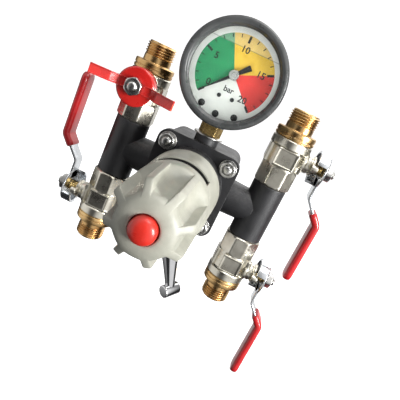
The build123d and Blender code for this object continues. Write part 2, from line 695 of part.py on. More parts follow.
def butterfly_handle(frame):
    """Pressed two-winged handle: the wings rise away from the valve on both sides of the hub."""
    plate = handle_hub(frame)
    with BuildPart() as handle:
        add(plate)
        for wing in (-1, 1):
            with BuildSketch(frame["lever"]):
                with BuildLine():
                    FilletPolyline((wing * 7.0, PLATE_U + PLATE_T / 2), (wing * 11.5, PLATE_U + PLATE_T / 2),
                                   (wing * 16.5, 33.5), (wing * 29.5, 38.0), radius=2.0)
                trace(line_width=PLATE_T)
            extrude(amount=4.2, both=True)
    return handle


VALVES = {
    # name: (side, up, stem direction, direction of the lever at rest, direction of the ball's waterway)
    "upper_left": (-1, 1, Vector(0, -1, 0), Vector(1, 0, 0), Vector(1, 0, 0)),
    "lower_left": (-1, -1, Vector(-1, 0, 0), Vector(0, 0, 1), Vector(0, 0, 1)),
    "upper_right": (1, 1, Vector(1, 0, 0), Vector(0, 0, -1), Vector(0, 0, 1)),
    "lower_right": (1, -1, Vector(1, 0, 0), Vector(0, 0, -1), Vector(0, 0, 1)),
}

seat_parts = []
for name, (side, up, stem_dir, lever_dir, bore_dir) in VALVES.items():
    frame = valve_frame(side, up, stem_dir, lever_dir)
    export(valve_case(frame), f"{name}_valve_case")
    export(valve_end(frame), f"{name}_outlet_end")
    export(valve_ball(frame, bore_dir), f"{name}_ball")
    export(valve_stem(frame, bore_dir), f"{name}_stem")
    export(valve_nut(frame), f"{name}_handle_nut")
    if name == "upper_left":
        export(butterfly_handle(frame), f"{name}_handle")
    else:
        export(lever_handle(frame), f"{name}_handle")
        export(grip_sleeve(frame), f"{name}_grip")
    seat_parts.append(valve_seats(frame).part)

with BuildPart() as ball_seats:
    for rings in seat_parts:
        add(rings)
export(ball_seats, "ball_seats")

# ---------------------------------------------------------------- pressure gauge
GAUGE_WASHER_T = 1.5
CONNECTOR_END = SEAT_Z - 9.5
HEXAGON_END = SEAT_Z + 8.5
NECK_R = 5.0
with BuildPart() as gauge_washer:
    with BuildSketch(level_plane(SEAT_Z, y=GAUGE_Y)):
        Circle(10.8)
        Circle(GAUGE_THREAD_R + 0.15, mode=Mode.SUBTRACT)
    extrude(amount=GAUGE_WASHER_T)
export(gauge_washer, "gauge_washer")

with BuildPart() as gauge_connector:
    with BuildSketch(level_plane(CONNECTOR_END, y=GAUGE_Y)):
        Circle(GAUGE_THREAD_R)
    extrude(amount=SEAT_Z + GAUGE_WASHER_T - CONNECTOR_END)
    with BuildSketch(level_plane(SEAT_Z + GAUGE_WASHER_T, y=GAUGE_Y)):
        RegularPolygon(7.0, 6, major_radius=False)
    extrude(amount=HEXAGON_END - SEAT_Z - GAUGE_WASHER_T)
    with BuildSketch(level_plane(HEXAGON_END, y=GAUGE_Y)):
        Circle(NECK_R)
    extrude(amount=12.0)
    # movement block inside the case
    with BuildSketch(level_plane(SEAT_Z + 16.0, y=GAUGE_Y)):
        Rectangle(14.0, 9.0)
    extrude(amount=12.0)
    with BuildSketch(level_plane(CONNECTOR_END, y=GAUGE_Y)):
        Circle(1.5)
    extrude(amount=30.0, mode=Mode.SUBTRACT)
export(gauge_connector, "gauge_connector")

GAUGE_BACK = -28.0
CASE_R = 31.4
CASE_DEPTH = 28.0
CASE_WALL = 2.0
PLUG_Y = -44.0
PLUG_HOLE_R = 3.0
with BuildPart() as gauge_case:
    with BuildSketch(front_plane(GAUGE_BACK, z=GAUGE_Z)):
        Circle(CASE_R)
    extrude(amount=CASE_DEPTH)
    fillet(gauge_case.edges().filter_by(GeomType.CIRCLE).group_by(Axis.Y)[-1], 3.0)
    with BuildSketch(level_plane(HEXAGON_END, y=GAUGE_Y)):
        RectangleRounded(16.0, 14.0, 2.0)
    extrude(amount=8.0)
    with BuildSketch(front_plane(GAUGE_BACK - CASE_WALL, z=GAUGE_Z)):
        Circle(CASE_R - CASE_WALL)
    extrude(amount=CASE_DEPTH, mode=Mode.SUBTRACT)
    with BuildSketch(level_plane(HEXAGON_END, y=GAUGE_Y)):
        Circle(NECK_R + THREAD_FIT)
    extrude(amount=12.0, mode=Mode.SUBTRACT)
    # filling hole in the top of the case
    with BuildSketch(level_plane(GAUGE_Z + CASE_R - 2 * CASE_WALL, y=PLUG_Y)):
        Circle(PLUG_HOLE_R)
    extrude(amount=3 * CASE_WALL, mode=Mode.SUBTRACT)
export(gauge_case, "gauge_case")

PLUG_DEPTH = 2.4
with BuildPart() as fill_plug:
    with BuildSketch(level_plane(GAUGE_Z + CASE_R - PLUG_DEPTH, y=PLUG_Y)):
        Circle(PLUG_HOLE_R - 0.05)
    extrude(amount=PLUG_DEPTH)
    with BuildSketch(level_plane(GAUGE_Z + CASE_R, y=PLUG_Y)):
        Circle(4.2)
    extrude(amount=1.6)
export(fill_plug, "fill_plug")

BEZEL_DEPTH = 9.0
BEZEL_LIP = 2.5
SIGHT_R = 28.4              # clear opening of the bezel
with BuildPart() as gauge_bezel:
    with BuildSketch(front_plane(GAUGE_FRONT + BEZEL_DEPTH, z=GAUGE_Z)):
        Circle(GAUGE_R)
    extrude(amount=BEZEL_DEPTH)
    fillet(gauge_bezel.edges().group_by(Axis.Y)[0], 2.2)
    with BuildSketch(front_plane(GAUGE_FRONT + BEZEL_DEPTH, z=GAUGE_Z)):
        Circle(CASE_R + THREAD_FIT)
    extrude(amount=BEZEL_DEPTH - BEZEL_LIP, mode=Mode.SUBTRACT)
    with BuildSketch(front_plane(GAUGE_FRONT + BEZEL_DEPTH, z=GAUGE_Z)):
        Circle(SIGHT_R)
    extrude(amount=BEZEL_DEPTH, mode=Mode.SUBTRACT)
export(gauge_bezel, "gauge_bezel")

with BuildPart() as gauge_glass:
    with BuildSketch(front_plane(-57.0, z=GAUGE_Z)):
        Circle(31.0)
    extrude(amount=2.4)
export(gauge_glass, "gauge_glass")

with BuildPart() as gauge_dial:
    with BuildSketch(front_plane(-50.0, z=GAUGE_Z)):
        Circle(CASE_R - CASE_WALL - 0.1)
        Circle(1.3, mode=Mode.SUBTRACT)
    extrude(amount=0.8)
export(gauge_dial, "gauge_dial")

with BuildPart() as bourdon_tube:
    with BuildLine():
        tube_arc = CenterArc((0, 0, 0), 18.0, 250.0, -300.0)
    with BuildSketch(Plane(origin=tube_arc @ 0, z_dir=tube_arc % 0)):
        Ellipse(1.2, 3.2)
    sweep()
bourdon_tube.part = bourdon_tube.part.moved(Location(front_plane(GAUGE_Y, z=GAUGE_Z)))
export(bourdon_tube, "bourdon_tube")

POINTER_ANGLE = 225.0
with BuildPart() as gauge_pointer:
    with BuildSketch(Plane(origin=(0, -52.2, GAUGE_Z), x_dir=(cos(radians(POINTER_ANGLE)), 0,
                                                                sin(radians(POINTER_ANGLE))), z_dir=(0, -1, 0))):
        with BuildLine():
            Polyline((-11.5, -2.0), (-2.0, -1.3), (21.5, -0.35), (21.5, 0.35), (-2.0, 1.3), (-11.5, 2.0), close=True)
        make_face()
        Circle(3.2)
    extrude(amount=0.7)
    with BuildSketch(front_plane(-46.0, z=GAUGE_Z)):
        Circle(1.2)
    extrude(amount=8.0)
export(gauge_pointer, "gauge_pointer")
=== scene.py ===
from math import atan2, cos, hypot, pi, radians, sin, sqrt, tan

import bmesh
import bpy
from mathutils import Matrix, Vector


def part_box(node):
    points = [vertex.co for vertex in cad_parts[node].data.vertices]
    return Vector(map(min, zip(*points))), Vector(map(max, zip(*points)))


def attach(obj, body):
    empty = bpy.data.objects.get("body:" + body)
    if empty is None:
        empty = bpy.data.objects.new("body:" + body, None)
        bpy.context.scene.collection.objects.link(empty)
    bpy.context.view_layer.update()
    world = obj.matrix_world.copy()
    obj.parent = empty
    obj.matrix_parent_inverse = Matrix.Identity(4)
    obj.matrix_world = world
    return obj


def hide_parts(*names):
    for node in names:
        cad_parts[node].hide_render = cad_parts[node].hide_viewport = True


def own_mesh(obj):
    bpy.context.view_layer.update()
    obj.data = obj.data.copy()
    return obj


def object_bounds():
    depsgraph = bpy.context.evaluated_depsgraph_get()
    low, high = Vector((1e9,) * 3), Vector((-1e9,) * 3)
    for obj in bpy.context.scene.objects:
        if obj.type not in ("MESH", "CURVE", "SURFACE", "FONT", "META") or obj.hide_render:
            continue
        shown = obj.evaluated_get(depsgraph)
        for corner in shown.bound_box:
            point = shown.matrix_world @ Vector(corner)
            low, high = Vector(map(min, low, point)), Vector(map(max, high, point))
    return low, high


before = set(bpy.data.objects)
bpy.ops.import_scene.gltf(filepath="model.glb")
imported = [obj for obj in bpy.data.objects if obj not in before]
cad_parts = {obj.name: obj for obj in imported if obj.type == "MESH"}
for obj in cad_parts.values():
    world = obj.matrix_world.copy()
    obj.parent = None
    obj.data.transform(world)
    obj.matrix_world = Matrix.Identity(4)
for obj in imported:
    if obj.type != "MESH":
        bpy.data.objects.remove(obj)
cad_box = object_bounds()


# ---- The valve body: a square block of cast aluminium, drilled and tapped, then dipped in satin black
# enamel. The manifolds screw into its two sides, the gauge into its top and the cover closes its front.
def node(tree, kind, inputs=(), **settings):
    """A shader node with these settings; inputs are values or sockets, by name or by place."""
    made = tree.nodes.new("ShaderNode" + kind)
    for key, value in settings.items():
        setattr(made, key, value)
    for key, value in inputs.items() if isinstance(inputs, dict) else enumerate(inputs):
        if isinstance(value, bpy.types.NodeSocket):
            tree.links.new(value, made.inputs[key])
        elif value is not None:
            made.inputs[key].default_value = value
    return made


def sum_of(tree, operation, *terms, clamp=False):
    return node(tree, "Math", terms, operation=operation, use_clamp=clamp).outputs[0]


def blended(tree, factor, first, second):
    """The colour between two colours."""
    mix = node(tree, "Mix", data_type="RGBA", clamp_factor=True)
    for key, value in ((0, factor), (6, first), (7, second)):
        if isinstance(value, bpy.types.NodeSocket):
            tree.links.new(value, mix.inputs[key])
        else:
            mix.inputs[key].default_value = value
    return mix.outputs[2]


def ranged(tree, value, low, high, to_low=0.0, to_high=1.0):
    return node(tree, "MapRange", (value, low, high, to_low, to_high)).outputs[0]


def effect(name, inputs, outputs):
    """An empty shader group with named sockets, and its input and output nodes."""
    tree = bpy.data.node_groups.new(name, "ShaderNodeTree")
    for label, kind, value in inputs:
        tree.interface.new_socket(name=label, in_out="INPUT",
                                  socket_type="NodeSocket" + kind).default_value = value
    for label in outputs:
        tree.interface.new_socket(name=label, in_out="OUTPUT", socket_type="NodeSocketFloat")
    return tree, tree.nodes.new("NodeGroupInput").outputs, tree.nodes.new("NodeGroupOutput").inputs


# Grain of a surface: fine is its texture, broad is the slow unevenness of its colour and gloss.
grain, given, out = effect("grain", (("Scale", "Float", 2000.0), ("Stretch", "Vector", (1, 1, 1))),
                           ("Fine", "Broad"))
place = node(grain, "TexCoord").outputs["Object"]
drawn_out = node(grain, "VectorMath", (place, given["Stretch"]), operation="MULTIPLY").outputs[0]
fine = node(grain, "TexNoise", {"Vector": drawn_out, "Scale": given["Scale"], "Detail": 4.0,
                                "Roughness": 0.6})
slow = sum_of(grain, "MULTIPLY", given["Scale"], 0.05)
broad = node(grain, "TexNoise", {"Vector": place, "Scale": slow, "Detail": 3.0, "Roughness": 0.55})
grain.links.new(fine.outputs["Fac"], out["Fine"])
grain.links.new(ranged(grain, broad.outputs["Fac"], 0.3, 0.7), out["Broad"])

# Edges rubbed by handling: where the surface turns sharply, broken up by a noise.
rubbed, given, out = effect("rubbed edges", (("Radius", "Float", 0.0004), ("Break Up", "Float", 700.0)),
                            ("Mask",))
round_normal = node(rubbed, "Bevel", {"Radius": given["Radius"]}, samples=4).outputs[0]
flat_normal = node(rubbed, "NewGeometry").outputs["Normal"]
turn = node(rubbed, "VectorMath", (round_normal, flat_normal), operation="DOT_PRODUCT").outputs["Value"]
place = node(rubbed, "TexCoord").outputs["Object"]
patches = node(rubbed, "TexNoise", {"Vector": place, "Scale": given["Break Up"],
                                    "Detail": 3.0}).outputs["Fac"]
edge = ranged(rubbed, turn, 0.995, 0.86)
rubbed.links.new(sum_of(rubbed, "MULTIPLY", edge, ranged(rubbed, patches, 0.38, 0.62)), out["Mask"])

# Dust that settles on what faces upwards.
settled, given, out = effect("settled dust", (("Scale", "Float", 300.0),), ("Mask",))
facing = node(settled, "SeparateXYZ", (node(settled, "NewGeometry").outputs["Normal"],)).outputs["Z"]
place = node(settled, "TexCoord").outputs["Object"]
specks = node(settled, "TexNoise", {"Vector": place, "Scale": given["Scale"], "Detail": 6.0,
                                    "Roughness": 0.7})
lying = ranged(settled, facing, 0.1, 0.95)
settled.links.new(sum_of(settled, "MULTIPLY", lying, ranged(settled, specks.outputs["Fac"], 0.42, 0.7)),
                  out["Mask"])

# Fine scratches: two crossed sets of stretched noise, of which only the peaks are left.
scratched, given, out = effect("scratches", (("Scale", "Float", 900.0), ("Thinness", "Float", 14.0)),
                               ("Mask",))
place = node(scratched, "TexCoord").outputs["Object"]
stretch = node(scratched, "CombineXYZ", (1.0, given["Thinness"], 1.0)).outputs[0]
sets = []
for turn_of_set in ((0.5, 0.9, 0.3), (1.3, -0.6, 1.1)):
    turned_place = node(scratched, "Mapping", {"Vector": place, "Rotation": turn_of_set}).outputs[0]
    pulled = node(scratched, "VectorMath", (turned_place, stretch), operation="MULTIPLY").outputs[0]
    lines = node(scratched, "TexNoise", {"Vector": pulled, "Scale": given["Scale"],
                                         "Detail": 1.0}).outputs["Fac"]
    sets.append(ranged(scratched, lines, 0.69, 0.74))
scratched.links.new(sum_of(scratched, "MAXIMUM", *sets), out["Mask"])

DUST = (0.42, 0.4, 0.36, 1)


def finish(name, dark, light, gloss, metallic=0.0, grained=(2500.0, 0.15), stretch=(1, 1, 1), worn=None,
           dusty=0.1, scratches=0.3, coat=0.0, rounding=0.0003):
    """A surface: two tones, a range of roughness, its grain, and what handling has done to it."""
    material = bpy.data.materials.new(name)
    material.use_nodes = True
    tree = material.node_tree
    shader = tree.nodes["Principled BSDF"]
    texture = node(tree, "Group", node_tree=grain)
    texture.inputs["Scale"].default_value = grained[0]
    texture.inputs["Stretch"].default_value = stretch
    colour = blended(tree, texture.outputs["Broad"], (*dark, 1), (*light, 1))
    rough = ranged(tree, texture.outputs["Broad"], 0.0, 1.0, *gloss)
    lines = node(tree, "Group", node_tree=scratched)
    lines.inputs["Scale"].default_value = 900.0
    cut = sum_of(tree, "MULTIPLY", lines.outputs["Mask"], scratches)
    rough = sum_of(tree, "ADD", rough, sum_of(tree, "MULTIPLY", cut, 0.25), clamp=True)
    if worn:
        worn_colour, worn_amount, worn_metal = worn
        rub = node(tree, "Group", node_tree=rubbed)
        rub.inputs["Radius"].default_value = rounding * 1.4
        share = sum_of(tree, "MULTIPLY", rub.outputs["Mask"], worn_amount)
        colour = blended(tree, share, colour, (*worn_colour, 1))
        if worn_metal != metallic:
            tree.links.new(ranged(tree, share, 0.0, 1.0, metallic, worn_metal), shader.inputs["Metallic"])
    if not shader.inputs["Metallic"].is_linked:
        shader.inputs["Metallic"].default_value = metallic
    dirt = node(tree, "Group", node_tree=settled)
    lying = sum_of(tree, "MULTIPLY", dirt.outputs["Mask"], dusty)
    colour = blended(tree, lying, colour, DUST)
    rough = sum_of(tree, "ADD", rough, sum_of(tree, "MULTIPLY", lying, 0.5), clamp=True)
    soft = node(tree, "Bevel", {"Radius": rounding}, samples=4).outputs[0]
    relief = sum_of(tree, "SUBTRACT", texture.outputs["Fine"], cut)
    bump = node(tree, "Bump", {"Strength": grained[1], "Distance": 0.0004, "Height": relief,
                               "Normal": soft})
    for socket, value in (("Base Color", colour), ("Roughness", rough), ("Normal", bump.outputs[0])):
        tree.links.new(value, shader.inputs[socket])
    shader.inputs["Coat Weight"].default_value = coat
    shader.inputs["Coat Roughness"].default_value = 0.12
    return material


def painted_on(nodes, material):
    """Puts a material on the CAD pieces that keep their own shape."""
    for name in nodes:
        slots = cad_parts[name].data.materials
        if not slots:
            slots.append(material)
        for place_in_mesh in range(len(slots)):
            slots[place_in_mesh] = material


black_enamel = finish("black enamel", (0.012, 0.012, 0.013), (0.022, 0.022, 0.024), (0.36, 0.5),
                      grained=(1500, 0.35), worn=((0.16, 0.16, 0.16), 0.35, 0.0), dusty=0.12,
                      scratches=0.25, rounding=0.0007)
painted_on(["valve_body", "front_cover"], black_enamel)


# ---- Cover fastenings: four zinc plated studs in the body with a washer and a hexagon nut on each.
# The nuts are cold formed with chamfered corners, and a thread or two of each stud stands out of its nut.
def ring_of(count):
    return [2 * pi * i / count for i in range(count)]


def placed(origin, axis, across):
    """A piece's own space: z along its axis and x across it. Sizes are in millimetres."""
    z = Vector(axis).normalized()
    x = Vector(across).normalized()
    y = z.cross(x)
    columns = [(*column, 0) for column in (x, y, z)] + [(*origin, 1)]
    return Matrix(columns).transposed()


def eased(profile, radius, steps=4, closed=True):
    """A profile whose corners are rounded by an arc, or by half of a side that is too short for it."""
    points = [Vector(p) for p in profile]
    made = []
    for i, corner in enumerate(points):
        if not closed and i in (0, len(points) - 1):
            made.append(corner)
            continue
        before = points[i - 1] - corner
        after = points[(i + 1) % len(points)] - corner
        opening = before.angle(after)
        cut = min(radius / max(tan(opening / 2), 1e-3), before.length * 0.48, after.length * 0.48)
        start = corner + before.normalized() * cut
        end = corner + after.normalized() * cut
        for step in range(steps + 1):
            t = step / steps
            made.append(start * (1 - t) ** 2 + corner * 2 * t * (1 - t) + end * t ** 2)
    return made


def turned(place, profile, count=72, radius_at=None):
    """Rings of points round the z axis, one for each (radius, height) of the profile."""
    rings = []
    for radius, height in profile:
        ring = []
        for angle in ring_of(count):
            r = radius_at(radius, height, angle) if radius_at else radius
            ring.append(place @ Vector((r * cos(angle), r * sin(angle), height)))
        rings.append(ring)
    return rings


def skinned(name, shells, material, body, stands_for=(), sharp=38.0):
    """One mesh from rings of points: each shell is capped at its ends or joined round into a loop."""
    mesh = bmesh.new()
    for rings, ends in shells:
        rows = [[mesh.verts.new(point * 0.001) for point in ring] for ring in rings]
        if ends == "loop":
            rows.append(rows[0])
        for low, high in zip(rows, rows[1:]):
            for i in range(len(low)):
                j = (i + 1) % len(low)
                mesh.faces.new((low[i], low[j], high[j], high[i]))
        if ends == "caps":
            mesh.faces.new(rows[0][::-1])
            mesh.faces.new(rows[-1])
    bmesh.ops.recalc_face_normals(mesh, faces=mesh.faces)
    return kept(name, mesh, material, body, stands_for, sharp)


def kept(name, mesh, material, body, stands_for, sharp=38.0):
    """The finished mesh as a piece that rides on its body."""
    data = bpy.data.meshes.new(name)
    mesh.to_mesh(data)
    mesh.free()
    data.materials.append(material)
    data.shade_smooth()
    data.set_sharp_from_angle(angle=radians(sharp))
    piece = bpy.data.objects.new(name, data)
    bpy.context.scene.collection.objects.link(piece)
    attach(piece, body)
    if stands_for:
        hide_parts(*stands_for)
    return piece


def hexagon(across_flats, corner):
    """How far a hexagon's side is from its axis, with its corners slightly worn."""
    def radius_at(radius, height, angle):
        flat = across_flats / 2 / cos((angle + pi / 6) % (pi / 3) - pi / 6)
        return min(radius, min(flat, across_flats / 2 * corner)) if radius > across_flats / 4 else radius
    return radius_at


def hexagon_nut(place, across_flats, height, bore, washer_face=0.4):
    """A chamfered nut: its cone cuts the corners of the hexagon into arcs."""
    corner = across_flats / 2 * 1.135
    flat = across_flats / 2
    outline = [(bore, 0), (flat * 0.97, 0), (flat * 0.97, washer_face)]
    slope = corner - flat
    shares = (0, 0.25, 0.5, 0.75, 1)
    outline += [(flat * 0.98 + slope * t, washer_face + slope * 0.58 * t) for t in shares]
    outline += [(flat * 0.95 + slope * t, height - slope * 0.58 * t) for t in shares[::-1]]
    outline += [(flat * 0.9, height), (bore + 0.5, height), (bore, height - 0.5)]
    return turned(place, outline, 96, hexagon(across_flats, 1.14)), "loop"


def thread(place, crest, depth, pitch, start, end, count=60, lead_in=0.8):
    """Rings of an external screw thread with rounded crests, run out at both of its ends."""
    rings = []
    stations = int((end - start) / pitch * 12)
    for step in range(stations + 1):
        height = start + (end - start) * step / stations
        from_end = min(height - start, end - height)
        shoulder = min(1.0, from_end / lead_in)
        ring = []
        for angle in ring_of(count):
            along = (height / pitch - angle / (2 * pi)) % 1.0
            groove = min(max((abs(2 * along - 1) - 0.14) / 0.72, 0.0), 1.0)
            radius = crest - depth * max(groove, 1 - shoulder)
            ring.append(place @ Vector((radius * cos(angle), radius * sin(angle), height)))
        rings.append(ring)
    return rings


zinc = finish("bright zinc", (0.42, 0.42, 0.41), (0.66, 0.65, 0.62), (0.2, 0.38), metallic=1.0,
              grained=(1800, 0.12), worn=((0.75, 0.74, 0.7), 0.5, 1.0), dusty=0.12, scratches=0.5)
painted_on(["adjusting_screw", "spring_cup"], zinc)
ear_low, ear_high = (corner * 1000 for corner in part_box("studs"))
NUT_FLATS, NUT_HEIGHT = 10.0, 5.0
STUD_R, STUD_PITCH = 3.0, 1.0
WASHER = [(3.2, 0), (6.2, 0), (6.2, 1.2), (3.2, 1.2)]
stud_x = ear_high.x - STUD_R
nut_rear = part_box("cover_nuts")[1].y * 1000
washer_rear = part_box("washers")[1].y * 1000
stud_front = ear_low.y
nuts, washers, studs = [], [], []
for x in (-stud_x, stud_x):
    for z in (-stud_x, stud_x):
        tilt = 0.3 * x + 0.17 * z
        across = (cos(tilt), 0, sin(tilt))
        nuts.append(hexagon_nut(placed((x, nut_rear, z), (0, -1, 0), across), NUT_FLATS, NUT_HEIGHT,
                                STUD_R + 0.05))
        disc = eased(WASHER, 0.25, 3)
        washers.append((turned(placed((x, washer_rear, z), (0, -1, 0), across), disc), "loop"))
        stud_end = placed((x, stud_front, z), (0, 1, 0), across)
        tip = turned(stud_end, [(0.6, 0), (2.1, 0), (2.5, 0.25)], 60)
        tail = turned(stud_end, [(2.55, 12.0), (2.55, 33.5), (2.0, 34.0)], 60)
        studs.append((tip + thread(stud_end, STUD_R, 0.55, STUD_PITCH, 0.3, 11.5) + tail, "caps"))
skinned("cover_nuts_zinc", nuts, zinc, "root", ["cover_nuts"], sharp=25)
skinned("cover_washers_zinc", washers, zinc, "root", ["washers"])
skinned("cover_studs_zinc", studs, zinc, "root", ["studs"])

# ---- Inside the body: stainless seat and poppet, a cam ring painted black as shade in the bonnet's windows, a brass plate and a rubber diaphragm.
# They are turned or moulded parts that show only through the bonnet's windows and the ports.
stainless = finish("turned stainless", (0.4, 0.4, 0.4), (0.6, 0.6, 0.59), (0.22, 0.36), metallic=1.0,
                   grained=(3000, 0.15), stretch=(1, 6, 1), dusty=0.08, scratches=0.4)
rubber = finish("black rubber", (0.01, 0.01, 0.01), (0.022, 0.022, 0.022), (0.55, 0.75),
                grained=(4000, 0.3), dusty=0.3, scratches=0.1)
yellow_brass = finish("turned brass", (0.55, 0.36, 0.12), (0.78, 0.58, 0.26), (0.16, 0.34), metallic=1.0,
                      grained=(2600, 0.14), stretch=(1, 1, 7), worn=((0.9, 0.74, 0.4), 0.5, 1.0), dusty=0.1,
                      scratches=0.5)
white_seal = finish("white seal", (0.75, 0.75, 0.72), (0.86, 0.86, 0.84), (0.3, 0.42), grained=(3000, 0.1),
                    dusty=0.05)
window_shade_black = finish("cam ring black for window shade", (0.012, 0.012, 0.013), (0.025, 0.025, 0.026), (0.4, 0.55),
                        grained=(2400, 0.15), dusty=0.1, scratches=0.3)
painted_on(["seat_ring", "poppet"], stainless)
# painted shade: the cam ring is coloured black so that the bonnet's windows look dark
painted_on(["cam_ring"], window_shade_black)
painted_on(["diaphragm", "fill_plug"], rubber)
painted_on(["diaphragm_plate", "knob_insert", "bourdon_tube"], yellow_brass)
painted_on(["ball_seats"], white_seal)

# ---- The spring: steel wire wound into an open coil, made as two halves that meet in the middle.
spring_wire = finish("spring wire", (0.12, 0.12, 0.125), (0.25, 0.25, 0.25), (0.3, 0.5), metallic=1.0,
                     grained=(3500, 0.2), dusty=0.1)
spring_low, spring_high = (corner * 1000 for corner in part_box("spring"))
WIRE_R, COIL_R, COILS = 1.3, 10.5, 6.5
HALF_STATIONS = 156
wound = spring_high.y - spring_low.y - 2 * WIRE_R
for end, begun, joint, kept_share in (("rear", 0.0, "poppet_lift", 0.855),
                                      ("front", 0.5, "bypass_turn", 0.8)):
    rings = []
    for i in range(HALF_STATIONS + 1):
        t = begun + i / (2 * HALF_STATIONS)
        outward = Vector((cos(2 * pi * COILS * t), 0, sin(2 * pi * COILS * t)))
        core = outward * COIL_R + Vector((0, spring_high.y - WIRE_R - wound * t, 0))
        forward = Vector((0, -1, 0))
        rings.append([core + (outward * cos(a) + forward * sin(a)) * WIRE_R for a in ring_of(16)])
    coils = skinned(f"spring_{end}_coils", [(rings, "caps")], spring_wire, "root",
                    ["spring"])
    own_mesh(coils)

# ---- The bonnet: a slightly tapered shell of warm grey moulded plastic that screws into the cover.
# Two windows in it let the bypass lever swing, and its front rim guides the handwheel.
grey_plastic = finish("grey plastic", (0.36, 0.36, 0.3), (0.46, 0.455, 0.385), (0.34, 0.46),
                      grained=(2200, 0.16), worn=((0.62, 0.61, 0.54), 0.4, 0.0), dusty=0.12, scratches=0.3,
                      rounding=0.0005)
# painted shade inside its windows: everything nearer the axis than its outer skin is painted near black
bonnet_plastic = grey_plastic.copy()
bonnet_plastic.name = "grey plastic with painted window shade"
tree = bonnet_plastic.node_tree
shader = tree.nodes["Principled BSDF"]
spot = node(tree, "SeparateXYZ", (node(tree, "TexCoord").outputs["Object"],))
squares = [sum_of(tree, "MULTIPLY", spot.outputs[axis], spot.outputs[axis]) for axis in ("X", "Z")]
from_axis = sum_of(tree, "SQRT", sum_of(tree, "ADD", *squares))
SHADED_WITHIN = 0.0234
# painted shade: near black within the outer skin, standing for the dark inside the windows
window_shade = ranged(tree, from_axis, SHADED_WITHIN + 0.0006, SHADED_WITHIN)
plain_colour = shader.inputs["Base Color"].links[0].from_socket
tree.links.new(blended(tree, window_shade, plain_colour, (0.008, 0.008, 0.008, 1)), shader.inputs["Base Color"])
painted_on(["bonnet"], bonnet_plastic)

# ---- The bypass lever: a chrome plated forging, oval at the cam ring and round at its head.
# The head is a short cross bar, pressed on, that the thumb pushes.
chrome = finish("bright chrome", (0.62, 0.62, 0.63), (0.8, 0.8, 0.8), (0.05, 0.12), metallic=1.0,
                grained=(900, 0.03), dusty=0.05, scratches=0.25, rounding=0.0004)
cam_low, cam_high = (corner * 1000 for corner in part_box("cam_ring"))
head_low, head_high = (corner * 1000 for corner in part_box("lever_head"))
lever_y = (cam_low.y + cam_high.y) / 2
head = (head_low + head_high) / 2
reach = hypot(head.x, head.z)
along_lever = Vector((head.x, 0, head.z)).normalized()
lever_space = placed((0, lever_y, 0), along_lever, (0, -1, 0))
# (distance from the handwheel axis, half width in the plane it swings in, half thickness)
sections = [(9.0, 2.4, 2.4), (18.6, 2.4, 2.4), (18.75, 5.9, 3.9), (19.4, 6.3, 4.15), (24.0, 6.2, 4.2),
            (30.0, 5.8, 4.15), (35.0, 5.3, 4.0), (41.0, 4.5, 3.7), (47.0, 3.8, 3.4), (52.0, 3.3, 3.2),
            (reach - 4.2, 3.15, 3.1), (reach - 2.6, 3.0, 3.0), (reach - 1.0, 2.2, 2.2)]
shank = []
for height, wide, thick in sections:
    shank.append([lever_space @ Vector((thick * cos(a), wide * sin(a), height)) for a in ring_of(48)])
skinned("bypass_lever_chrome", [(shank, "caps")], chrome, "bypass_lever", ["bypass_lever"])
BAR_TWIST = radians(50)
BAR_R, BAR_HALF = 4.0, 5.6
bar_way = lever_space.to_3x3() @ Vector((sin(BAR_TWIST), cos(BAR_TWIST), 0))
bar_space = placed(lever_space @ Vector((0, 0, reach)), bar_way, along_lever)
bar = eased([(0.2, -BAR_HALF), (BAR_R, -BAR_HALF), (BAR_R, BAR_HALF), (0.2, BAR_HALF)], 0.75, 5,
            closed=False)
skinned("lever_cross_bar", [(turned(bar_space, bar, 64), "caps")], chrome, "bypass_lever",
        ["lever_head"])

# ---- The handwheel: a hollow moulding of the same grey plastic with eight grip ribs. The hub's side is
# scooped out between the ribs, and its front is domed round the hole that the red cap snaps into.
RIBS = 8
RIB_START = radians(21)
RIB_HALF = 2.1
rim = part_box("handwheel")[1].y * 1000
knob_space = placed((0, rim, 0), (0, -1, 0), (1, 0, 0))
# (height above the rear rim, radius over a rib, radius between the ribs)
OUTSIDE = [(0.0, 23.9, 23.9), (0.35, 24.3, 24.3), (3.0, 24.3, 24.3), (6.2, 24.3, 24.3), (7.4, 24.2, 23.9),
           (8.6, 24.1, 23.0), (10.4, 24.0, 21.4), (12.6, 23.95, 20.1), (15.4, 23.9, 19.2),
           (19.0, 23.8, 18.8), (24.0, 23.6, 18.5), (30.0, 23.4, 18.3), (36.0, 23.2, 18.2),
           (40.0, 23.05, 18.1), (41.4, 22.95, 18.0), (42.2, 22.7, 17.9), (42.8, 22.3, 17.85),
           (43.5, 21.6, 17.75), (44.4, 20.5, 17.6), (45.3, 19.4, 17.4), (46.2, 18.4, 17.1),
           (47.2, 17.4, 16.7), (48.2, 16.4, 16.1), (49.0, 15.4, 15.3), (49.8, 14.2, 14.2),
           (50.4, 12.9, 12.9), (50.9, 11.5, 11.5), (51.2, 10.2, 10.2), (51.4, 9.2, 9.2)]
rings = []
